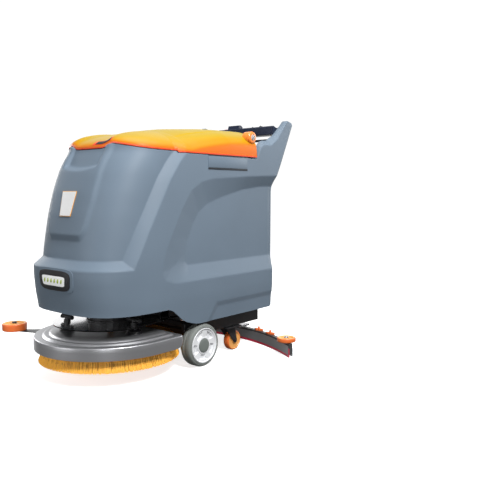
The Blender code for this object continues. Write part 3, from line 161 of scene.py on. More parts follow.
def distance_to(points, p):
    best = inf
    for a, b in zip(points, points[1:]):
        run = (b[0] - a[0], b[1] - a[1])
        t = clamp(((p[0] - a[0]) * run[0] + (p[1] - a[1]) * run[1]) / (run[0] ** 2 + run[1] ** 2))
        best = min(best, hypot(p[0] - a[0] - t * run[0], p[1] - a[1] - t * run[1]))
    return best


def encloses(points, p):
    inside = False
    for a, b in zip(points, points[1:] + points[:1]):
        if (a[1] > p[1]) != (b[1] > p[1]) and p[0] < a[0] + (p[1] - a[1]) * (b[0] - a[0]) / (b[1] - a[1]):
            inside = not inside
    return inside


def bevel_between(outer, inner, p, radius):
    """0 outside the outer line, 1 inside the inner one, and a straight bevel with eased edges between."""
    to_outer = distance_to(outer, p)
    to_inner = distance_to(inner, p)
    width = 0.045
    if not encloses(outer, p):
        return eased(-to_outer / width, radius)
    if encloses(inner, p):
        return eased(1 + to_inner / width, radius)
    return eased(to_outer / (to_outer + to_inner), radius)


def nose_inset(y, z):
    """0 on the band and the sides, 1 on the upper front."""
    ledge = (z - LEDGE_Z) / LEDGE_HEIGHT
    crease = (curved(CREASE_LINE, z) - y) / CREASE_WIDTH
    return eased(min(ledge, crease), 0.035)


def body_outline(s, z, inset=0.0):
    """A point of the half outline: s is 0 at the front centre, 1 where the side starts, 2 and 3 at the two
    ends of the rear corner, and 4 at the rear centre."""
    half = curved(FLANK_LINE, z) - inset
    centre = curved(NOSE_LINE, z) + NOSE
    tail = curved(TAIL_LINE, z) - inset
    corner = max(REAR_CORNER - inset, 0)
    across, forward = 1.0, 0.0
    if s <= 1:
        turn = s * pi / 2
        across = sin(turn) ** (2 / CORNER_POWER)
        forward = cos(turn) ** (2 / CORNER_POWER)
        x = half * across
        y = centre - (NOSE - inset) * forward
    elif s <= 2:
        x = half
        y = centre + (tail - corner - centre) * (s - 1)
    elif s <= 3:
        turn = (s - 2) * pi / 2
        return half - corner + corner * cos(turn), tail - corner + corner * sin(turn)
    else:
        return min((HALF_WIDTH - REAR_CORNER) * (4 - s), half - corner), tail
    amount = nose_inset(y, z)
    return x - SIDE_INSET * amount * across, y + FRONT_INSET * amount * forward


def body_surface(s, z):
    """The outline with the arch, the lower step, the front panel and its scoop worked in."""
    x, y = body_outline(s, z)
    if 1 <= s <= 3:
        share = 1.0 if s <= 2 else clamp((3 - s) * 1.5)
        x -= ARCH_INSET * bevel_between(ARCH_OUTER, ARCH_INNER, (y, z), 0.045) * share
        if z < 0.3:
            x -= 0.005 * bevel_between(STEP_OUTER, STEP_INNER, (y, z), 0.15) * share
    if s < 1:
        y -= PANEL_RAISE * panel_share(x, z)
        depth = 0.019 - 0.008 * smooth((z - 0.82) / 0.07)
        above = eased((z - SCOOP_BOTTOM - 1.1 * x * x) / 0.013, 0.25)
        y += depth * above * eased((SCOOP_HALF - x) / 0.011, 0.2)
    return x, y


def panel_share(x, z):
    """0 outside the raised front panel and 1 on it, with a rounded lower corner."""
    across = (curved(PANEL_EDGE, z) - x) / PANEL_BEVEL[0]
    above = (z - PANEL_BOTTOM) / PANEL_BEVEL[1]
    corner = 2.6
    if across < corner and above < corner:
        return eased(corner - hypot(corner - across, corner - above), 0.12)
    return eased(min(across, above), 0.12)


def top_edge(s):
    if s < 1:
        x = body_outline(s, RIM_Z)[0]
        return curved(PANEL_RIM, x) if x < 0.262 else RIM_Z
    if s <= 2:
        z = RIM_Z
        for _ in range(12):
            z = along(WING_LINE, body_outline(s, z)[1])
        return min(z, WING_PEAK_Z)
    if s <= 3:
        return WING_TOP_Z
    x = body_outline(s, REAR_TOP_Z)[0]
    return WING_TOP_Z if x > HALF_WIDTH - RIM_WIDTH - 0.0002 else REAR_TOP_Z


def bottom_edge(s):
    return curved(SILL_LINE, body_outline(s, 0.2)[1])


# ---- mesh tools ----


@contextmanager
def opened(mesh):
    """The mesh as a bmesh, written back afterwards."""
    work = bmesh.new()
    work.from_mesh(mesh)
    yield work
    work.to_mesh(mesh)
    work.free()


def mesh_from(vertices, faces):
    mesh = bpy.data.meshes.new("mesh")
    mesh.from_pydata([tuple(v) for v in vertices], [], faces)
    with opened(mesh) as work:
        bmesh.ops.remove_doubles(work, verts=work.verts, dist=1e-6)
        bmesh.ops.dissolve_degenerate(work, edges=work.edges, dist=1e-7)
    return mesh


def grid(rows, closed_across=False, closed_along=False):
    """Faces between rows of points."""
    across = len(rows[0])
    vertices = [point for row in rows for point in row]
    faces = []
    for i in range(len(rows) if closed_along else len(rows) - 1):
        k = (i + 1) % len(rows)
        for j in range(across if closed_across else across - 1):
            m = (j + 1) % across
            faces.append([i * across + j, i * across + m, k * across + m, k * across + j])
    return mesh_from(vertices, faces)


def turns_of(steps):
    """Even steps round a circle."""
    return [2 * pi * i / steps for i in range(steps)]


def revolved(profile, steps=64, axis="Z", at=(0, 0, 0), relief=None):
    """A turned mesh from (radius, height) points. relief(radius, angle, height) may add height."""
    rows = []
    for r, h in profile:
        rows.append([(r * cos(turn), r * sin(turn), h + (relief(r, turn, h) if relief else 0))
                     for turn in turns_of(steps)])
    mesh = grid(rows, closed_across=True, closed_along=profile[0] == profile[-1])
    tilt = {"Z": 0, "X": pi / 2, "-X": -pi / 2}[axis]
    mesh.transform(Matrix.Translation(at) @ Matrix.Rotation(tilt, 4, "Y"))
    return outward(mesh)


def raised(profile, height):
    """The same profile, that much higher."""
    return [(r, h + height) for r, h in profile]


def outward(mesh):
    with opened(mesh) as work:
        bmesh.ops.recalc_face_normals(work, faces=work.faces)
    return mesh


def rounded_box(low, high, radius, segments=3):
    mesh = bpy.data.meshes.new("block")
    with opened(mesh) as work:
        bmesh.ops.create_cube(work, size=1)
        bmesh.ops.scale(work, vec=[b - a for a, b in zip(low, high)], verts=work.verts)
        bmesh.ops.bevel(work, geom=work.edges[:], offset=radius, segments=segments, affect="EDGES",
                        profile=0.5)
        bmesh.ops.translate(work, vec=[(a + b) / 2 for a, b in zip(low, high)], verts=work.verts)
    return mesh


def pipe(points, radius, sides=16):
    """A round tube with domed ends through the points."""
    spots = [Vector(p) for p in points]
    side = (spots[1] - spots[0]).orthogonal()
    rows = []
    for i, here in enumerate(spots):
        run = (spots[min(i + 1, len(spots) - 1)] - spots[max(i - 1, 0)]).normalized()
        side = (side - run * side.dot(run)).normalized()
        other = run.cross(side)
        rows.append([here + (side * cos(turn) + other * sin(turn)) * radius
                     for turn in turns_of(sides)])

    def dome(ring, end, inner):
        ahead = (end - inner).normalized() * radius * 0.3
        return [[p + (end - p) * 0.35 + ahead * 0.7 for p in ring], [end + ahead] * sides]

    head = dome(rows[0], spots[0], spots[1])
    tail = dome(rows[-1], spots[-1], spots[-2])
    return outward(grid(head[::-1] + rows + tail, closed_across=True))


def merged(*meshes):
    """Several meshes as one; they keep their own faces."""
    whole = bpy.data.meshes.new("merged")
    with opened(whole) as work:
        for mesh in meshes:
            work.from_mesh(mesh)
    return whole


def mirrored(mesh):
    other = mesh.copy()
    other.transform(Matrix.Diagonal((-1, 1, 1, 1)))
    other.flip_normals()
    return other


def linked(name, data):
    thing = bpy.data.objects.new(name, data)
    bpy.context.scene.collection.objects.link(thing)
    return thing


def piece(name, mesh, material, body, slot, *nodes, angle=32):
    """The finished piece: named, painted, riding on its body, and standing for the nodes it replaces."""
    mesh.name = name
    mesh.materials.clear()
    for paint in material if isinstance(material, list) else [material]:
        mesh.materials.append(paint)
    mesh.shade_smooth()
    mesh.set_sharp_from_angle(angle=radians(angle))
    thing = linked(name, mesh)
    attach(thing, body)
    if nodes:
        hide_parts(*nodes)
    return thing


# ---- materials ----


def tone(colour, factor):
    return (*[min(1.0, c * factor) for c in colour], 1)


def add_node(tree, kind, *fed, **settings):
    """A new node. fed holds (input, output) pairs to link, a setting with a capital is an input's value."""
    node = tree.nodes.new("ShaderNode" + kind)
    for name, value in settings.items():
        if name[0].isupper():
            node.inputs[name.replace("_", " ")].default_value = value
        else:
            setattr(node, name, value)
    for socket, source in fed:
        tree.links.new(source, node.inputs[socket])
    return node


def finish_of(name, colour, roughness, metallic=0.0, mottle=0.05, mottle_scale=6.0, grain=0.08,
              grain_scale=900.0, spread=0.06, coat=0.0, gleam=0.5):
    """A moulded, painted or cast finish: colour that drifts a little, uneven gloss and a fine grain."""
    made = bpy.data.materials.new(name)
    made.use_nodes = True
    tree = made.node_tree
    shader = tree.nodes["Principled BSDF"].inputs
    shader["Metallic"].default_value = metallic
    shader["Specular IOR Level"].default_value = gleam
    if coat:
        shader["Coat Weight"].default_value = coat
        shader["Coat Roughness"].default_value = 0.12
    place = ("Vector", add_node(tree, "TexCoord").outputs["Object"])
    broad = add_node(tree, "TexNoise", place, Scale=mottle_scale, Detail=4).outputs["Fac"]
    ramp = add_node(tree, "ValToRGB", ("Fac", broad))
    for element, position, factor in zip(ramp.color_ramp.elements, (0.3, 0.7), (1 - mottle, 1 + mottle)):
        element.position = position
        element.color = tone(colour, factor)
    fine = add_node(tree, "TexNoise", place, Scale=grain_scale, Detail=2).outputs["Fac"]
    gloss = add_node(tree, "MapRange", ("Value", broad), To_Min=roughness - spread, To_Max=roughness + spread)
    bump = add_node(tree, "Bump", ("Height", fine), Strength=grain, Distance=0.0005)
    tree.links.new(ramp.outputs["Color"], shader["Base Color"])
    tree.links.new(gloss.outputs["Result"], shader["Roughness"])
    tree.links.new(bump.outputs["Normal"], shader["Normal"])
    return made


def painted_light_ramp(made, low, high, stops, facing=0.0):
    """Paints light and shade into the finish: a colour that changes with the height, from low to high, and a
    share of it set by how far the surface faces up, a painted highlight on the upward faces."""
    tree = made.node_tree
    place = add_node(tree, "TexCoord").outputs
    height = add_node(tree, "SeparateXYZ", ("Vector", place["Object"])).outputs["Z"]
    wander = add_node(tree, "TexNoise", ("Vector", place["Object"]), Scale=5).outputs["Fac"]
    drift = add_node(tree, "Math", (0, wander), (2, height), operation="MULTIPLY_ADD")
    drift.inputs[1].default_value = (high - low) * 0.12
    span = add_node(tree, "MapRange", ("Value", drift.outputs["Value"]), From_Min=low, From_Max=high)
    # how far the surface faces up: upward faces get a painted highlight
    upward = add_node(tree, "SeparateXYZ", ("Vector", place["Normal"])).outputs["Z"]
    rise = add_node(tree, "MapRange", ("Value", upward), From_Min=0.25, From_Max=0.97)
    blend = add_node(tree, "Mix", (2, span.outputs["Result"]), (3, rise.outputs["Result"]))
    blend.inputs[0].default_value = facing
    ramp = add_node(tree, "ValToRGB", ("Fac", blend.outputs[0]))
    elements = ramp.color_ramp.elements
    elements[0].position, elements[0].color = stops[0][0], tone(stops[0][1], 1)
    elements[1].position, elements[1].color = stops[-1][0], tone(stops[-1][1], 1)
    for position, colour in stops[1:-1]:
        elements.new(position).color = tone(colour, 1)
    tree.links.new(ramp.outputs["Color"], tree.nodes["Principled BSDF"].inputs["Base Color"])
    return made


def glowing(made, colour, strength):
    shader = made.node_tree.nodes["Principled BSDF"]
    shader.inputs["Emission Color"].default_value = tone(colour, 1)
    shader.inputs["Emission Strength"].default_value = strength
    return made


BODY = finish_of("body_plastic", (0.14, 0.184, 0.234), 0.5, mottle=0.035, mottle_scale=4, grain=0.22,
                 grain_scale=1100, gleam=0.22)
# Near black for the gaps by the side covers and for the lid's finger slot: painted shade in the gaps.
SLOT_SHADE = finish_of("slot_painted_shade", (0.02, 0.024, 0.03), 0.7)
# The lid runs from red-orange low down to yellow on top, 0.62 of it by how far the surface faces up: a
# painted highlight on the upward faces.
LID = painted_light_ramp(
    finish_of("lid_plastic", (0.8, 0.28, 0.05), 0.36, grain=0.1, gleam=0.18), 0.876, 0.99,
    [(0, (0.66, 0.13, 0.01)), (0.25, (0.66, 0.17, 0.01)), (0.5, (0.54, 0.22, 0.008)),
     (0.75, (0.42, 0.26, 0.003)), (1.0, (0.37, 0.262, 0.002))], facing=0.62)
LID_EDGE = finish_of("lid_edge", (0.74, 0.06, 0.015), 0.35, coat=0.2)
EAR = finish_of("lid_ear", (0.84, 0.24, 0.04), 0.32, coat=0.3)
BLACK = finish_of("black_plastic", (0.014, 0.014, 0.016), 0.45, grain=0.35, mottle=0.25, mottle_scale=14)
STEEL_BLACK = finish_of("black_steel", (0.022, 0.022, 0.024), 0.36, grain=0.3, mottle=0.2, mottle_scale=12)
MOTOR = finish_of("motor_case", (0.02, 0.02, 0.022), 0.5, metallic=0.3, grain=0.6, grain_scale=500,
                  mottle=0.2)
DECK = finish_of("deck_metal", (0.46, 0.465, 0.485), 0.36, metallic=0.85, mottle=0.06, grain=0.1,
                 grain_scale=700, spread=0.04)
# The carrier plate's colour is a painted reflection: near black where it faces sideways, white where it faces
# up.
POLISHED_PAINTED_REFLECTION = painted_light_ramp(
    finish_of("polished_steel_painted_reflection", (0.5, 0.5, 0.5), 0.12, metallic=0.95, grain=0.02, mottle=0.05, spread=0.02),
    0.19, 0.21, [(0, (0.02, 0.02, 0.022)), (1.0, (0.92, 0.92, 0.93))], facing=1.0)
STEEL = finish_of("bright_steel", (0.58, 0.58, 0.6), 0.24, metallic=1.0, grain=0.15, mottle=0.06)
SQUEEGEE = finish_of("squeegee_metal", (0.125, 0.125, 0.128), 0.38, metallic=0.55, grain=0.25)
STRAP = finish_of("squeegee_strap", (0.3, 0.3, 0.31), 0.4, metallic=0.6, grain=0.2)
RED = finish_of("blade_red", (0.86, 0.05, 0.11), 0.42, grain=0.12, mottle=0.08, mottle_scale=18)
PALE = finish_of("blade_pale", (0.62, 0.7, 0.72), 0.35, grain=0.1)
TYRE = finish_of("tyre_rubber", (0.185, 0.2, 0.19), 0.72, grain=0.5, grain_scale=600, mottle=0.07)
HUB = finish_of("hub_white", (0.74, 0.75, 0.77), 0.3, grain=0.08, mottle=0.03)
CAP = finish_of("cap_grey", (0.155, 0.175, 0.165), 0.5, grain=0.3)
ORANGE = finish_of("orange_plastic", (0.83, 0.17, 0.035), 0.36, grain=0.12, mottle=0.06)
PEACH = finish_of("orange_light", (0.88, 0.42, 0.12), 0.36, grain=0.1, mottle=0.06)
# The bristles are painted darker at the top, just under the deck, as painted shade, and given a faint orange
# glow, painted light.
BRISTLE = glowing(painted_light_ramp(
    finish_of("bristle_nylon", (0.78, 0.4, 0.05), 0.5, grain=0.3, mottle=0.3), 0.058, 0.116,
    [(0, (0.86, 0.42, 0.035)), (0.25, (0.92, 0.52, 0.06)), (0.75, (0.92, 0.5, 0.055)),
     (1.0, (0.6, 0.27, 0.025))]), (0.9, 0.42, 0.04), 0.1)
# A darker copy of the bristle nylon for the core ring among the tufts: painted shade between the strands.
BRISTLE_SHADE = finish_of("bristle_nylon_painted_shade", (0.62, 0.27, 0.02), 0.6, grain=0.3, mottle=0.3,
                         mottle_scale=60)
BRUSH = finish_of("brush_plastic", (0.7, 0.28, 0.04), 0.5, grain=0.2)
TANK = finish_of("tank_plastic", (0.27, 0.29, 0.31), 0.5, grain=0.25)
BATTERY = finish_of("battery_case", (0.022, 0.022, 0.026), 0.5, grain=0.4)
NAVY = finish_of("console_navy", (0.012, 0.018, 0.04), 0.3, grain=0.2, mottle=0.15)
BADGE = finish_of("badge_plate", (0.76, 0.76, 0.76), 0.38, mottle=0.02, grain=0.05)
BADGE_EDGE = finish_of("badge_edge", (0.75, 0.36, 0.06), 0.35)
LENS = glowing(finish_of("lens", (0.8, 0.82, 0.81), 0.2, mottle=0.06, mottle_scale=40), (1, 1, 1), 0.18)
LED = glowing(finish_of("led", (0.3, 0.36, 0.06), 0.3, mottle=0.2, mottle_scale=200), (0.5, 0.7, 0.1), 0.08)
BUTTON = finish_of("button_red", (0.62, 0.02, 0.02), 0.32)
RUBBER = finish_of("boot_rubber", (0.025, 0.025, 0.027), 0.65, grain=0.4)
WHITE = finish_of("white_plastic", (0.8, 0.8, 0.8), 0.35)

for paint, names in (
    (STEEL_BLACK, "rail_left rail_right cross_front cross_rear tank_frame lower_arms upper_arms"),
    (STEEL_BLACK, "bumper_bracket caster_fork_left caster_fork_right"),
    (BLACK, "battery_tray vacuum_motor handlebar speed_knob rocker_switch"),
    (BLACK, "throttle_bail deck_pedal squeegee_pedal"),
    (STEEL, "lid_hinge_left lid_hinge_right squeegee_yoke key_switch"),
    (MOTOR, "transaxle brush_motor"),
    (TANK, "solution_tank recovery_tank"),
    (NAVY, "console_panel display_hood"),
    (BATTERY, "batteries"),
    (BADGE, "badge_plate"),
    (POLISHED_PAINTED_REFLECTION, "carrier_plate"),
    (BRUSH, "brush_block"),
    (BUTTON, "e_stop"),
):
    for node in names.split():
        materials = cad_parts[node].data.materials
        materials.clear()
        materials.append(paint)


# ---- body ----

SKIN_LEVELS = 172
SILL_Z = 0.186
SKIN_TOP_Z = 0.84
ROUND_OVER = 0.004
RIM_STEP = 0.0035


def front_steps():
    """Places along the rounded front, close together both across and along the machine."""
    steps = [asin((i / 48) ** (CORNER_POWER / 2)) / (pi / 2) for i in range(49)]
    steps += [acos((i / 76) ** (CORNER_POWER / 2)) / (pi / 2) for i in range(77)]
    kept = [0.0]
    for step in sorted(steps):
        if step - kept[-1] > 0.0008:
            kept.append(step)
    kept[-1] = 1.0
    return kept


def body_columns():
    wing = RIM_WIDTH - REAR_CORNER
    flat = HALF_WIDTH - REAR_CORNER
    side = [1 + i / 190 for i in range(1, 191)]
    corner = [2 + i / 6 for i in range(1, 7)]
    rear = [3 + wing / flat, 3 + (wing + 0.0008) / flat] + [3.1 + 0.9 * i / 8 for i in range(9)]
    return front_steps() + side + corner + rear


def body_mesh():
    """The outer skin from its lower edge to the rim, the rounded rim, and the turned-in wall."""
    edges = [(s, bottom_edge(s), top_edge(s)) for s in body_columns()]

    def inwards(s, high, share):
        """Where the rim's top is, from the skin at 0 to its inner edge at 1."""
        outer = body_surface(s, high - ROUND_OVER)
        inner = body_outline(s, high, RIM_WIDTH)
        return [a + (b - a) * share for a, b in zip(outer, inner)]

    rows = []
    for i in range(SKIN_LEVELS):
        level = SILL_Z + (SKIN_TOP_Z - SILL_Z) * i / (SKIN_LEVELS - 1)
        rows.append([(*body_surface(s, max(level, low)), max(level, low)) for s, low, _ in edges])
    for i in range(1, 13):
        spots = [(s, SKIN_TOP_Z + (high - ROUND_OVER - SKIN_TOP_Z) * i / 12) for s, _, high in edges]
        rows.append([(*body_surface(s, z), z) for s, z in spots])
    for i in range(1, 4):
        turn = pi / 2 * i / 3
        share = ROUND_OVER * (1 - cos(turn)) / RIM_WIDTH
        rise = ROUND_OVER * (sin(turn) - 1)
        rows.append([(*inwards(s, high, share), high + rise) for s, _, high in edges])
    for share in (0.4, 0.88, 0.97, 1.0):
        drop = RIM_STEP * smooth((share - 0.9) * 10)
        row = []
        for s, _, high in edges:
            bevel = curved(WING_BEVEL, body_outline(s, high, RIM_WIDTH)[1]) * share
            rise = min(bevel, WING_PEAK_Z - high) if 1 <= s <= 3 else 0.0
            row.append((*inwards(s, high, share), high + rise - drop))
        rows.append(row)
    for drop in (0.02, RIM_DEPTH):
        rows.append([(*body_outline(s, high, RIM_WIDTH), high - (RIM_STEP if 3 < s < 3.1 else drop))
                     for s, _, high in edges])
    return shelled(grid(rows), WALL)


def shelled(mesh, wall):
    """Mirrors a half surface that is open at X = 0 and gives it a wall inwards."""
    thing = linked("shell", mesh)
    mirror = thing.modifiers.new("mirror", "MIRROR")
    mirror.merge_threshold = 1e-4
    mirror.use_clip = True
    solid = thing.modifiers.new("wall", "SOLIDIFY")
    solid.thickness = wall
    solid.offset = -1
    bpy.context.view_layer.update()
    graph = bpy.context.evaluated_depsgraph_get()
    made = bpy.data.meshes.new_from_object(thing.evaluated_get(graph))
    bpy.data.objects.remove(thing)
    return outward(made)


def front_y(x, z):
    """Where the front skin is at this place."""
    half = curved(FLANK_LINE, z)
    centre = curved(NOSE_LINE, z) + NOSE
    return centre - NOSE * (1 - min(abs(x) / half, 1) ** CORNER_POWER) ** (1 / CORNER_POWER)


def on_front(half_low, half_high, z_low, z_high, proud, thick, power, steps=40, rings=5):
    """A plate that follows the band at the front: a rounded outline, wider at the top or the bottom."""
    rows = []
    middle = (z_low + z_high) / 2
    for ring in range(rings + 1):
        share = ring / rings
        row = []
        for k in range(steps * 2):
            turn = pi * k / steps
            c, s = cos(turn), sin(turn)
            u = copysign(abs(c) ** (2 / power), c) * share
            v = copysign(abs(s) ** (2 / power), s) * share
            z = middle + v * (z_high - z_low) / 2
            half = half_low + (half_high - half_low) * (v + 1) / 2
            x = u * half
            edge = 0.0 if ring < rings else thick * 0.35
            row.append((x, front_y(x, z) - proud - thick + edge, z))
        rows.append(row)
    rows.append([(x, front_y(x, z) + 0.0005, z) for x, _, z in rows[-1]])
    return outward(grid(rows, closed_across=True))


piece("body_shell_skin", body_mesh(), BODY, "chassis", "body_plastic", "body_shell", angle=48)


# ---- light and badge ----


LIGHT_Z = 0.393


def make_light():
    """The housing on the band, its cover, six lamps behind it and two screws."""
    surround = on_front(0.108, 0.111, 0.349, 0.44, 0, 0.004, 5)
    bezel = on_front(0.092, 0.099, 0.356, 0.432, 0.004, 0.0045, 4.2)
    lens = on_front(0.068, 0.073, 0.374, 0.411, 0.008, 0.0012, 9)
    piece("light_surround", surround, BODY, "chassis", "body_plastic")
    piece("light_bezel_skin", bezel, BLACK, "chassis", "black_plastic", "light_bezel")
    piece("light_lens_skin", lens, LENS, "chassis", "lens_plastic", "light_lens")
    led = [(0, 0.0022), (0.0022, 0.0018), (0.004, 0.0009), (0.0046, -0.0004)]
    slant = Matrix.Rotation(radians(-16), 4, "Z") @ Matrix.Scale(2.0, 4, (0, 1, 0))
    screw = [(0, 0.0003), (0.0016, 0.0003), (0.0024, 0.001), (0.0032, 0.001), (0.0036, -0.0006)]

    def facing_front(profile, places, proud, turn):
        made = []
        for x in places:
            made.append(revolved(profile, 20))
            made[-1].transform(Matrix.Rotation(pi / 2, 4, "X") @ turn)
            made[-1].transform(Matrix.Translation((x, front_y(x, LIGHT_Z) - proud, LIGHT_Z)))
        return merged(*made)

    leds = facing_front(led, [-0.0525 + 0.021 * i for i in range(6)], 0.0094, slant)
    screws = facing_front(screw, (-0.084, 0.084), 0.0087, Matrix.Identity(4))
    piece("light_leds", leds, LED, "chassis", "lens_plastic")
    piece("light_screws", screws, STEEL_BLACK, "chassis", "black_plastic")


make_light()


def make_badge_edge():
    """A thin coloured frame round the bare plate, which is narrower at its lower end."""
    low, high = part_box("badge_plate")
    lift = Vector((0, high.y - low.y - 0.003, high.z - low.z)).normalized()
    out = Vector((-1, 0, 0)).cross(lift)
    wide, half_tall = 0.074, 0.0465
    rows = []
    for grow, push in ((0.0002, 0), (0.0002, 0.0022), (0.0022, 0.0022), (0.0022, 0)):
        row = []
        for sx, sz in ((-1, -1), (1, -1), (1, 1), (-1, 1)):
            across = Vector((sx * ((0.5 + 0.07 * sz) * wide + grow), 0, 0))
            row.append((low + high) / 2 + lift * sz * (half_tall + grow) + across + out * (push - 0.0006))
        rows.append(row)
    mesh = outward(grid(rows, closed_across=True, closed_along=True))
    piece("badge_edge", mesh, BADGE_EDGE, "chassis", "badge_plastic")


make_badge_edge()


# ---- side covers ----


def make_side_covers():
    """The small cover under the lid on each side, with a dark strip above and below it, painted shade of the
    gaps.
    """
    front, rear, foot, head = -0.011, 0.237, 0.8165, 0.868

    def block(sunk, proud, low, high, radius):
        return rounded_box((HALF_WIDTH - sunk, front, low), (HALF_WIDTH + proud, rear, high), radius, 2)

    cover = block(0.002, 0.0014, foot + 0.004, head, 0.0012)
    # Dark strips along the cover's lower edge and under the lid: painted shade of the gaps.
    slot_shades = merged(block(0.003, 0.0017, foot - 0.004, foot + 0.0034, 0.0005),
                   block(0.003, 0.0017, head + 0.0002, head + 0.004, 0.0005))
    for name, made in (("left", (cover, slot_shades)), ("right", (mirrored(cover), mirrored(slot_shades)))):
        piece("side_cover_" + name, made[0], BODY, "chassis", "body_plastic")
        piece("side_slot_shades_" + name, made[1], SLOT_SHADE, "chassis", "black_plastic")


make_side_covers()


# ---- lid ----


def lid_steps():
    tail = body_outline(2, RIM_Z)[1]
    centre = curved(NOSE_LINE, RIM_Z) + NOSE
    last = 1 + (LID_REAR_Y - centre) / (tail - centre)
    return front_steps() + [1 + (last - 1) * i / 90 for i in range(1, 91)]


def lid_point(s, share):
    """A point of the lid: share is 1 at its lower edge and 0 on its spine."""
    base = LID_GAP + (top_edge(s) if s < 1 else RIM_Z)
    x, y = body_outline(s, base)
    edge_z = base + LID_LIP
    spine_y = max(LID_SPINE_Y, y)
    power = 1.7 + 1.3 * clamp((y - LID_SPINE_Y) / 0.25)
    z = edge_z + (curved(LID_CROWN, spine_y) - edge_z) * (1 - share**power) ** (1 / power)
    here_x, here_y = x * share, spine_y + (y - spine_y) * share
    z -= 0.012 * smooth((0.115 - here_x) / 0.03) * smooth((-0.1 - here_y) / 0.1) * (1 - share**4)
    if here_x > 0.2 and here_y > -0.16:
        over = (z - curved(SWOOSH, here_y)) / 0.016
        here_x -= 0.0045 * eased(over, 0.3) * clamp((here_y + 0.16) / 0.06)
    return here_x, here_y, z


def lid_edge_row(drop, out):
    """A row along the lid's lower edge, that much lower and further out."""
    row = []
    for s in lid_steps():
        x, y, z = lid_point(s, 1.0)
        away = Vector((x, y - max(LID_SPINE_Y, y), 0)).normalized()
        row.append((x + away.x * out if s > 0 else 0, y + away.y * out, z - drop))
    return row


def lid_mesh():
    lip = [(LID_LIP, -0.0008), (LID_LIP - 0.0012, 0.0006), (0.0004, 0.0006)]
    rows = [lid_edge_row(drop, out) for drop, out in lip]
    for i in range(47):
        share = 1 - (i / 46) ** 2.1
        rows.append([lid_point(s, share) for s in lid_steps()])
    return shelled(grid(rows), LID_WALL)


def make_lid():
    """The lid, the ribbon along its edge, and on each side its hinge lug with the pin's washer."""
    piece("lid_skin", lid_mesh(), LID, "lid", "lid_plastic", "lid", angle=40)
    ribbon = [(-0.0008, 0.0005), (-0.0008, 0.0016), (0.003, 0.0017), (0.0042, 0.0008)]
    rows = [lid_edge_row(LID_LIP - lift, out) for lift, out in ribbon]
    piece("lid_rim", shelled(grid(rows), 0.0004), LID_EDGE, "lid", "lid_plastic")
    inner, outer = 0.236, 0.279
    lug = [(0.0064, 0), (0.022, 0), (0.0255, 0.002), (0.026, 0.006)]
    lug += raised([(0.026, -0.007), (0.0252, -0.0035), (0.0225, -0.0008), (0.0195, 0), (0.0145, 0),
                   (0.0135, -0.0015), (0.0064, -0.0015)], outer - inner)
    washer = [(0, 0), (0.0112, 0), (0.012, 0.0008), (0.012, 0.0016), (0.0108, 0.0024), (0.0062, 0.0024),
              (0.0058, 0.002), (0.0058, 0.0046), (0.005, 0.0052), (0.0026, 0.0052), (0.0022, 0.0036),
              (0, 0.0036)]
    for side, name, axis in ((1, "left", "X"), (-1, "right", "-X")):
        piece("lid_ear_" + name, revolved(lug + lug[:1], 56, axis, (side * inner, *HINGE)), EAR, "lid",
              "lid_plastic")
        piece("hinge_washer_" + name, revolved(washer, 36, axis, (side * (outer - 0.0013), *HINGE)), WHITE,
              "chassis", "bright_steel")


make_lid()


def make_latch_slot():
    """The finger slot in the lid's front edge, in a warm recess; the slot is a near-black sheet laid on the
    lid, painted shade of its hollow.
    """
    for name, paint, start, end, near, far, lift in (
        ("latch_recess", LID_EDGE, 0.008, 0.195, 0.994, 0.925, 0.0005),
        # A near-black sheet on the lid where the slot is: painted shade of its hollow.
        ("latch_slot", SLOT_SHADE, 0.028, 0.18, 0.988, 0.942, 0.0011),
    ):
        rows = []
        for i in range(6):
            steps = [start + (end - start) * k / 20 + 0.01 * i / 5 for k in range(21)]
            spots = [lid_point(s, near + (far - near) * i / 5) for s in steps]
            rows.append([(x, y - lift, z + lift) for x, y, z in spots])
        mesh = grid(rows)
        with opened(mesh) as work:
            bmesh.ops.solidify(work, geom=work.faces[:], thickness=0.0008)
        piece(name, outward(mesh), paint, "lid", "black_plastic")


make_latch_slot()


# ---- brush deck ----

BRUSH_AT = Vector((0, -0.303, 0))
DECK_RADIUS = 0.294
DECK_REAR_Y = -0.168
DECK_BOTTOM = 0.111
DECK_REAR_LIP = 0.15
DECK_RIM_Z = 0.16
DECK_TOP_Z = 0.174


def deck_row(inset, z):
    """Half the deck's outline: a round front, straight sides, and a straight rear with rounded corners."""
    radius = DECK_RADIUS - inset
    rear = DECK_REAR_Y - inset * 0.5
    corner = 0.02
    nose = [-pi / 2 + pi / 2 * i / 60 for i in range(61)]
    row = [(radius * cos(turn), BRUSH_AT.y + radius * sin(turn)) for turn in nose]
    row += [(radius, BRUSH_AT.y + (rear - corner - BRUSH_AT.y) * i / 8) for i in range(1, 8)]
    for turn in [pi / 2 * i / 6 for i in range(7)]:
        row.append((radius - corner + corner * cos(turn), rear - corner + corner * sin(turn)))
    row += [((radius - corner) * (1 - i / 6), rear) for i in range(1, 7)]
    lows = [DECK_BOTTOM + (DECK_REAR_LIP - DECK_BOTTOM) * smooth((k - 66) / 8) for k in range(len(row))]
    return [(x if x > 1e-6 else 0, y, max(z, low)) for (x, y), low in zip(row, lows)]


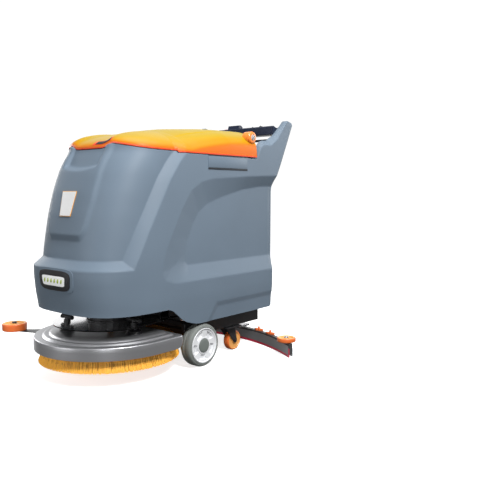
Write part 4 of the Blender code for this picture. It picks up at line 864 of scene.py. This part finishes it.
def make_deck():
    """The pressed metal deck, and on it two posts with T handles."""
    profile = raised([(0.001, 0), (0, 0.001), (0, 0.012)], DECK_BOTTOM)
    profile += raised([
        (0, -0.02), (0, -0.0045), (0.0006, -0.0022), (0.0022, -0.0006), (0.0045, 0), (0.02, 0), (0.029, 0),
        (0.032, -0.001), (0.034, 0.0005), (0.037, 0.0045), (0.04, 0.0068), (0.043, 0.0072),
        (0.05, 0.0062), (0.054, 0.005), (0.058, 0.0056), (0.062, 0.01), (0.066, 0.012),
        (0.072, 0.0126), (0.078, 0.0134), (0.084, DECK_TOP_Z - DECK_RIM_Z)], DECK_RIM_Z)
    rows = [deck_row(inset, z) for inset, z in profile]
    for radius in (0.15, 0.06):
        row = []
        for x, y, _ in rows[len(profile) - 1]:
            away = Vector((x, y - BRUSH_AT.y))
            away = away.normalized() * min(radius, away.length)
            row.append((away.x, BRUSH_AT.y + away.y, DECK_TOP_Z))
        rows.append(row)
    piece("deck_skin", shelled(grid(rows), 0.0025), DECK, "deck", "deck_metal", "deck_housing", angle=35)
    for name in ("right", "left"):
        node = "deck_knob_" + name
        low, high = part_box(node)
        x, y, foot, head = (low.x + high.x) / 2, (low.y + high.y) / 2, low.z, high.z
        flange = raised([(0, -0.0004), (0.016, -0.0004), (0.02, -0.004), (0.0245, -0.0065), (0.026, -0.01)],
                        foot)
        flange += raised([(0.029, 0.004), (0.031, 0.001), (0.031, -0.001)], DECK_TOP_Z)
        piece("knob_flange_" + name, revolved(flange, 48, at=(x, y, 0)), BLACK, "deck", "black_plastic")
        post = raised([(0, -0.004), (0.0085, -0.004), (0.0095, -0.008), (0.0095, -0.016), (0.0125, -0.018),
                       (0.0135, -0.022), (0.0125, -0.026)], head)
        post += raised([(0.012, 0.01), (0.0138, 0.006), (0.0138, 0), (0, 0)], foot)
        bar = pipe([(x - 0.031, y, head - 0.0085), (x, y, head - 0.0075), (x + 0.031, y, head - 0.0085)],
                   0.008, 20)
        cap = [(0, 0.004), (0.006, 0.004), (0.0085, 0.0028), (0.0088, -0.004), (0, -0.0045)]
        caps = [revolved(cap, 28, axis, (x + reach, y, head - 0.0088))
                for reach, axis in ((-0.0315, "-X"), (0.0315, "X"))]
        piece("deck_knob_skin_" + name, merged(revolved(post, 40, at=(x, y, 0)), bar, *caps), BLACK, node,
              "black_plastic", node)


make_deck()


def make_bristles():
    """Rings of nylon tufts that splay outwards, the outer ones strand by strand."""
    top, tip = 0.1146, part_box("bristles")[0].z
    vertices, faces = [], []
    levels = 4

    def strand(base, end, radius, sides):
        start = len(vertices)
        lean = end - base
        for level in range(levels + 1):
            t = level / levels
            centre = base + lean * t + Vector((lean.x, lean.y, 0)) * (t * t - t) * 0.5
            fat = radius * (1.0 if level < levels else 0.8)
            for turn in turns_of(sides):
                vertices.append((centre.x + fat * cos(turn), centre.y + fat * sin(turn), centre.z))
        for a in range(start, start + levels * sides, sides):
            for k in range(sides):
                m = (k + 1) % sides
                faces.append([a + k, a + sides + k, a + sides + m, a + m])
        faces.append([start + levels * sides + k for k in range(sides)][::-1])
        faces.append([start + k for k in range(sides)])

    for base_radius, tip_radius, count, strands in (
        (0.259, 0.2768, 210, 9), (0.25, 0.264, 120, 6), (0.228, 0.233, 84, 3), (0.202, 0.204, 74, 3),
        (0.176, 0.176, 64, 3), (0.152, 0.15, 56, 3), (0.132, 0.122, 50, 3),
    ):
        shape = (0.0011, 4) if strands > 5 else (0.0018, 5)
        for i in range(count):
            turn = 2 * pi * (i + dice.uniform(-0.12, 0.12)) / count
            sway = dice.uniform(-0.0015, 0.0015)
            for _ in range(strands):
                spread = dice.uniform(-1, 1)
                depth = dice.uniform(-1, 1)
                angle = turn + spread * 0.0034 / base_radius
                tip_angle = turn + (spread * 0.0052 + sway) / base_radius
                near = base_radius + depth * 0.0025
                far = min(tip_radius + depth * 0.003, 0.2788)
                base = BRUSH_AT + Vector((near * cos(angle), near * sin(angle), top))
                low = tip + dice.uniform(0, 0.0007)
                end = BRUSH_AT + Vector((far * cos(tip_angle), far * sin(tip_angle), low))
                strand(base, end, *shape)
    mesh = bpy.data.meshes.new("bristles")
    mesh.from_pydata(vertices, [], faces)
    piece("bristle_tufts", mesh, BRISTLE, "brush", "bristle", "bristles")
    # The core ring among the tufts, in the darker copy of the nylon: painted shade.
    core = [(0.257, top), (0.267, 0.09), (0.2725, tip + 0.003), (0.244, tip + 0.0025), (0.24, top),
            (0.256, top)]
    piece("bristle_core", revolved(core, 96, at=BRUSH_AT), BRISTLE_SHADE, "brush", "bristle")


make_bristles()


# ---- rollers and knobs ----


PIN_BORE = 0.0064


def middle_of(node):
    low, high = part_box(node)
    return (low + high) / 2


def both_ways(profile):
    """A profile from its upper end to its middle, continued as a mirror image below it."""
    return profile + [(r, -h) for r, h in profile[::-1]]


def roller(node, radius, half, arms):
    """Wall roller: a rounded orange rim round a dished face with raised arms."""
    centre = middle_of(node)
    edge = [(-0.004, 0), (-0.0015, -0.0008), (-0.0003, -0.0026), (0, -0.005)]
    rim = both_ways([(radius + r, half + h) for r, h in edge])
    rim += [(PIN_BORE + 0.01, -half), (PIN_BORE, 0.001 - half)]
    hub = [(0, -0.003), (0.002, -0.002), (0.007, -0.002), (0.009, -0.006)]
    dish = [(-0.014, -0.006), (-0.011, -0.001), (-0.009, 0), (-0.004, 0)]
    rim += [(PIN_BORE + r, half + h) for r, h in hub] + [(radius + r, half + h) for r, h in dish]

    def spokes(r, turn, h):
        if h > half - 0.0055 or r < PIN_BORE + 0.0085 or h < 0:
            return 0.0
        return 0.0045 * smooth((cos(arms * turn) - 0.45) / 0.25)

    mesh = revolved(rim, 96, at=centre, relief=spokes)
    made = piece(node.replace("roller", "roller_skin"), mesh, [ORANGE, PEACH], node, "orange_plastic", node)
    for face in made.data.polygons:
        away = hypot(face.center.x - centre.x, face.center.y - centre.y)
        if face.center.z > centre.z + half - 0.0068 and away < radius - 0.0035:
            face.material_index = 1


roller("bumper_roller", 0.049, 0.015, 4)
for end in ("left", "right"):
    roller("squeegee_roller_" + end, 0.042, 0.009, 3)


def make_wing_knobs():
    """Four-lobed clamp nuts with a raised hub."""
    profile = [(0.2, 0), (0.95, 0), (1.0, 0.0015), (1.0, 0.006), (0.96, 0.008), (0.55, 0.0085),
               (0.48, 0.0095), (0.44, 0.0175), (0.38, 0.019), (0.17, 0.0192), (0.16, 0.017), (0.16, 0.0002)]
    for spot in ("left_inner", "left_outer", "right_inner", "right_outer"):
        node = "wing_knob_" + spot
        centre, foot = middle_of(node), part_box(node)[0].z
        rows = []
        for share, height in profile:
            row = []
            for turn in turns_of(64):
                reach = 0.0175 * 0.62
                if share > 0.5:
                    lobe = 0.0175 + 0.0085 * cos(2 * turn) ** 3
                    reach = lobe * (0.58 + 0.42 * abs(cos(turn)))
                reach *= share
                row.append((centre.x + reach * cos(turn), centre.y + reach * sin(turn) * 0.95,
                            foot + height))
            rows.append(row)
        mesh = outward(grid(rows, closed_across=True, closed_along=True))
        piece("clamp_nut_" + spot, mesh, ORANGE, node, "orange_plastic", node)


make_wing_knobs()


# ---- wheels ----


def disc_size(node):
    """The centre of a wheel that turns about X, half its width, and its radius."""
    low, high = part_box(node)
    return (low + high) / 2, (high.x - low.x) / 2, (high.z - low.z) / 2


def make_wheel(axis, name):
    """Ribbed tyre, one-piece rim with its stub axle, and the cap over its hub."""
    body = "wheel_" + name
    centre, half, outer = disc_size("tyre_" + name)
    shoulder = raised([(0.0872, -0.0068), (outer - 0.0004, -0.0115), (outer, -0.017)], half)
    tyre = raised([
        (0.0728, -0.0035), (0.074, -0.0012), (0.0765, -0.0004), (0.079, -0.0016), (0.08, -0.0024),
        (0.0815, -0.0016), (0.0845, -0.003)], half)
    tyre += both_ways(shoulder + [(outer, 0.006), (outer - 0.0016, 0.0045)])
    tyre += raised([(0.0845, 0.003), (0.079, 0.001), (0.0728, 0)], -half)
    tyre.append(tyre[0])
    piece("tyre_skin_" + name, revolved(tyre, 120, axis, centre), TYRE, body, "tyre_rubber", "tyre_" + name)

    def pockets(r, turn, h):
        """Five stepped pockets between the spokes."""
        if h < half - 0.02:
            return 0.0
        radial = smooth((r - 0.037) / 0.005) * smooth((0.0605 - r) / 0.005)
        swing = cos(5 * turn + 0.6 * sin((r - 0.036) * 90))
        return -0.0075 * radial * eased((swing + 0.35) / 0.35, 0.15)

    rim = [(0.0725, -0.006), (0.0725, -0.0002), (0.0715, 0.001), (0.069, 0.001), (0.0672, -0.0002),
           (0.0655, -0.003)]
    rim += [(0.064 - 0.0014 * i, -0.0034 - 0.0001 * i) for i in range(20)]
    rim += [(0.0365, -0.006), (0.0355, -0.0042), (0.0335, -0.0036), (0.03, -0.0036), (0.0296, -0.009),
            (0, -0.009)]
    rim = raised(rim, half)
    back = raised([(0.0725, 0.004), (0.0715, 0.003), (0.062, 0.003)], -half)
    back += [(0.062, -0.006), (0.0245, -0.012)]
    back += raised([(0.024, 0), (0.011, 0), (0.011, -0.05), (0, -0.05)], -half)
    mesh = revolved(back[::-1] + rim, 160, axis, centre, relief=pockets)
    piece("wheel_rim_" + name, mesh, HUB, body, "hub_plastic", "rim_" + name, angle=30)
    cap = raised([(0, 0.0009), (0.01, 0.0008), (0.02, 0.0004), (0.0262, -0.0002), (0.0284, -0.0012),
                  (0.029, -0.003), (0.029, -0.0088)], half)
    piece("wheel_cap_" + name, revolved(cap, 72, axis, centre), CAP, body, "cap_plastic", "hub_cap_" + name)


def make_caster_wheel(name):
    node = "caster_wheel_" + name
    centre, half, outer = disc_size(node)
    hub = raised([(0.0054, -0.001), (0.0062, 0), (0.013, 0), (0.016, -0.0035), (outer - 0.0085, -0.003)],
                 half)
    tread = [(-0.006, 0), (-0.0022, -0.0012), (-0.0003, -0.0045), (0, -0.009)]
    tread = [(outer + r, half + h) for r, h in tread]
    profile = both_ways(tread) + [(r, -h) for r, h in hub[::-1]] + hub + tread[:1]
    made = piece("caster_tread_" + name, revolved(profile, 80, "X", centre), [ORANGE, PEACH], node,
                 "orange_plastic", node)
    for face in made.data.polygons:
        if hypot(face.center.y - centre.y, face.center.z - centre.z) < outer - 0.007:
            face.material_index = 1


for axis, name in (("X", "left"), ("-X", "right")):
    make_wheel(axis, name)
    make_caster_wheel(name)


# ---- squeegee ----

SQUEEGEE_Y = 0.447
SQUEEGEE_SWEEP = 0.144
SQUEEGEE_HALF = 0.472
ROLLER_AT = (0.438, 0.316)


def squeegee_y(x):
    return SQUEEGEE_Y - SQUEEGEE_SWEEP * (x / SQUEEGEE_HALF) ** 2


def swept(section, half, steps=90):
    """A (distance back, height) outline carried along the squeegee's curve."""
    rows = []
    for back, z in section + section[:1]:
        row = []
        for i in range(steps + 1):
            x = -half + 2 * half * i / steps
            slope = -2 * SQUEEGEE_SWEEP * x / SQUEEGEE_HALF**2
            upright = Vector((-slope, 1)).normalized().y
            row.append((x, squeegee_y(x) + back / max(upright, 0.5) * upright, z))
        rows.append(row)
    mesh = grid(rows)
    with opened(mesh) as work:
        bmesh.ops.holes_fill(work, edges=[edge for edge in work.edges if len(edge.link_faces) == 1])
    return outward(mesh)


def make_squeegee():
    """The curved metal body, a blade on each face, the front blade's strap, and the fittings on top."""
    section = [
        (-0.011, 0.015), (-0.011, 0.059), (-0.0102, 0.0598), (0.0094, 0.06), (0.0104, 0.0594),
        (0.011, 0.058), (0.011, 0.015), (0.01, 0.014), (-0.01, 0.014),
    ]
    red = [(-0.0153, 0.0015), (-0.0153, 0.0388), (-0.0143, 0.04), (-0.0113, 0.04), (-0.0113, 0.0005),
           (-0.0145, 0.0005)]
    pale = [(0.0113, 0.0005), (0.0113, 0.04), (0.0145, 0.04), (0.0153, 0.039), (0.0153, 0.0015),
            (0.0143, 0.0005)]
    strap = [(-0.0154, 0.0135), (-0.0154, 0.0515), (-0.0158, 0.052), (-0.0168, 0.052), (-0.0172, 0.0515),
             (-0.0172, 0.0135), (-0.0168, 0.013), (-0.0158, 0.013)]
    spacer = [(-0.011, 0.0405), (-0.011, 0.0515), (-0.0152, 0.0515), (-0.0152, 0.0405)]
    for name, outline, shorter, paint, slot, *nodes in (
        ("squeegee_skin", section, 0, SQUEEGEE, "squeegee_metal", "squeegee_body"),
        ("blade_front_skin", red, 0, RED, "blade_rubber", "blade_front"),
        ("blade_rear_skin", pale, 0, PALE, "blade_rubber", "blade_rear"),
        ("blade_strap", strap, 0.004, STRAP, "squeegee_metal"),
        ("blade_spacer", spacer, 0.01, SQUEEGEE, "squeegee_metal"),
    ):
        piece(name, swept(outline, SQUEEGEE_HALF - shorter), paint, "squeegee", slot, *nodes)
    bolt = [(0, 0.0868), (0.005, 0.0868), (0.0058, 0.0862), (0.0062, 0.0845), (0.011, 0.0842),
            (0.0112, 0.083), (0.0058, 0.0828), (0.0058, 0.06), (0, 0.06)]
    stud = [(0, 0.08), (0.003, 0.08), (0.0039, 0.079), (0.0039, 0.058), (0, 0.058)]
    fittings = [rounded_box((-0.07, 0.401, 0.059), (0.07, 0.459, 0.0645), 0.0015)]
    for side in (-1, 1):
        x, y = side * ROLLER_AT[0], ROLLER_AT[1]
        fittings.append(rounded_box((x - 0.014, y - 0.014, 0.055), (x + 0.014, y + 0.02, 0.064), 0.002))
        fittings.append(revolved(bolt, 36, at=(x, y, 0)))
        for x in (side * 0.2, side * 0.29):
            fittings.append(revolved(stud, 20, at=(x, squeegee_y(x), 0)))
    piece("squeegee_fittings", merged(*fittings), STEEL, "squeegee", "bright_steel")


make_squeegee()


def make_boot():
    """Ribbed rubber boot between the squeegee nozzle and the inlet pipe, curving a little from one to the
    other.
    """
    low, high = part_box("suction_boot")
    start = Vector((0, 0.437, low.z + 0.0002))
    end = Vector((0, 0.4195, high.z - 0.0002))
    ribs = 9
    rows = []
    for i in range(ribs * 6 + 1):
        t = i / (ribs * 6)
        swell = 0.5 - 0.5 * cos(2 * pi * t * ribs)
        radius = 0.0118 + 0.0031 * swell
        middle = start + (end - start) * t
        middle.y = start.y + (end.y - start.y) * smooth((t - 0.1) / 0.8)
        rows.append([(radius * cos(turn), middle.y + radius * sin(turn), middle.z)
                     for turn in turns_of(36)])
    mesh = outward(grid(rows, closed_across=True))
    mesh.materials.append(RUBBER)
    mesh.shade_smooth()
    thing = linked("suction_bellows", mesh)
    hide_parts("suction_boot")
    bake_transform(thing)


make_boot()


# ---- surroundings ----

FLOOR_REACH = 5.0
BACKDROP_WAY = (-0.632, 0.775, 0)
WORLD_WHITE = 1.05


def make_floor():
    mesh = grid([[(x, y, 0) for x in (-FLOOR_REACH, FLOOR_REACH)] for y in (-FLOOR_REACH, FLOOR_REACH)])
    paint = finish_of("floor_paint", (0.9, 0.9, 0.9), 0.85, mottle=0.004, grain=0.02)
    mesh.materials.append(glowing(paint, (1.0, 1.0, 1.0), 0.72))
    floor = linked("floor", mesh)
    floor.visible_diffuse = False
    floor.visible_glossy = False


def make_world():
    """White wherever it is looked at, and a white backdrop in a dim room as a source of light."""
    world = bpy.data.worlds.new("studio")
    world.use_nodes = True
    tree = world.node_tree
    place = add_node(tree, "TexCoord").outputs["Generated"]
    facing = add_node(tree, "VectorMath", (0, place), operation="DOT_PRODUCT")
    facing.inputs[1].default_value = BACKDROP_WAY
    fade = add_node(tree, "MapRange", ("Value", facing.outputs["Value"]), interpolation_type="SMOOTHSTEP",
                    From_Min=0.55, From_Max=0.82, To_Min=0.19, To_Max=WORLD_WHITE)
    height = add_node(tree, "SeparateXYZ", ("Vector", place)).outputs["Z"]
    below = add_node(tree, "MapRange", ("Value", height), From_Min=-0.6, From_Max=-0.3, To_Min=0.3)
    level = add_node(tree, "Math", (0, fade.outputs["Result"]), (1, below.outputs["Result"]),
                     operation="MULTIPLY")
    looked_at = add_node(tree, "LightPath").outputs["Is Camera Ray"]
    seen = add_node(tree, "Mix", (0, looked_at), (2, level.outputs["Value"]))
    seen.inputs[3].default_value = WORLD_WHITE
    background = tree.nodes["Background"].inputs
    background["Color"].default_value = (1, 1, 1, 1)
    tree.links.new(seen.outputs[0], background["Strength"])
    bpy.context.scene.world = world


def make_lights():
    for name, at, aim, power, size in (
        ("top", (0.2, 0.1, 3.4), (0, 0, 0.4), 62, 2.2),
        ("key", (2.6, -1.0, 3.0), (0, 0, 0.6), 155, 0.9),
        ("low", (2.5, -2.6, 0.7), (0, 0, 0.2), 17, 0.5),
        ("front", (-0.9, -3.4, 0.9), (0, 0, 0.3), 26, 1.5),
        ("back", (1.4, 3.6, 1.5), (0, 0, 0.5), 45, 1.4),
        ("right", (-3.8, -0.2, 1.5), (0, 0, 0.6), 34, 1.4),
    ):
        light = bpy.data.lights.new(name, "AREA")
        light.energy = power
        light.size = size
        lamp = linked(name, light)
        lamp.location = at
        lamp.rotation_euler = (Vector(aim) - Vector(at)).to_track_quat("-Z", "Y").to_euler()


def make_camera():
    lens = bpy.data.cameras.new("view")
    lens.sensor_width = 36
    lens.lens = 43.33
    camera = linked("view", lens)
    camera.location = (1.96442, -1.80875, 0.71501)
    camera.rotation_euler = (radians(84.628), 0, radians(39.213))
    bpy.context.scene.camera = camera
    bpy.context.scene.view_settings.view_transform = "Standard"


make_floor()
make_world()
make_lights()
make_camera()
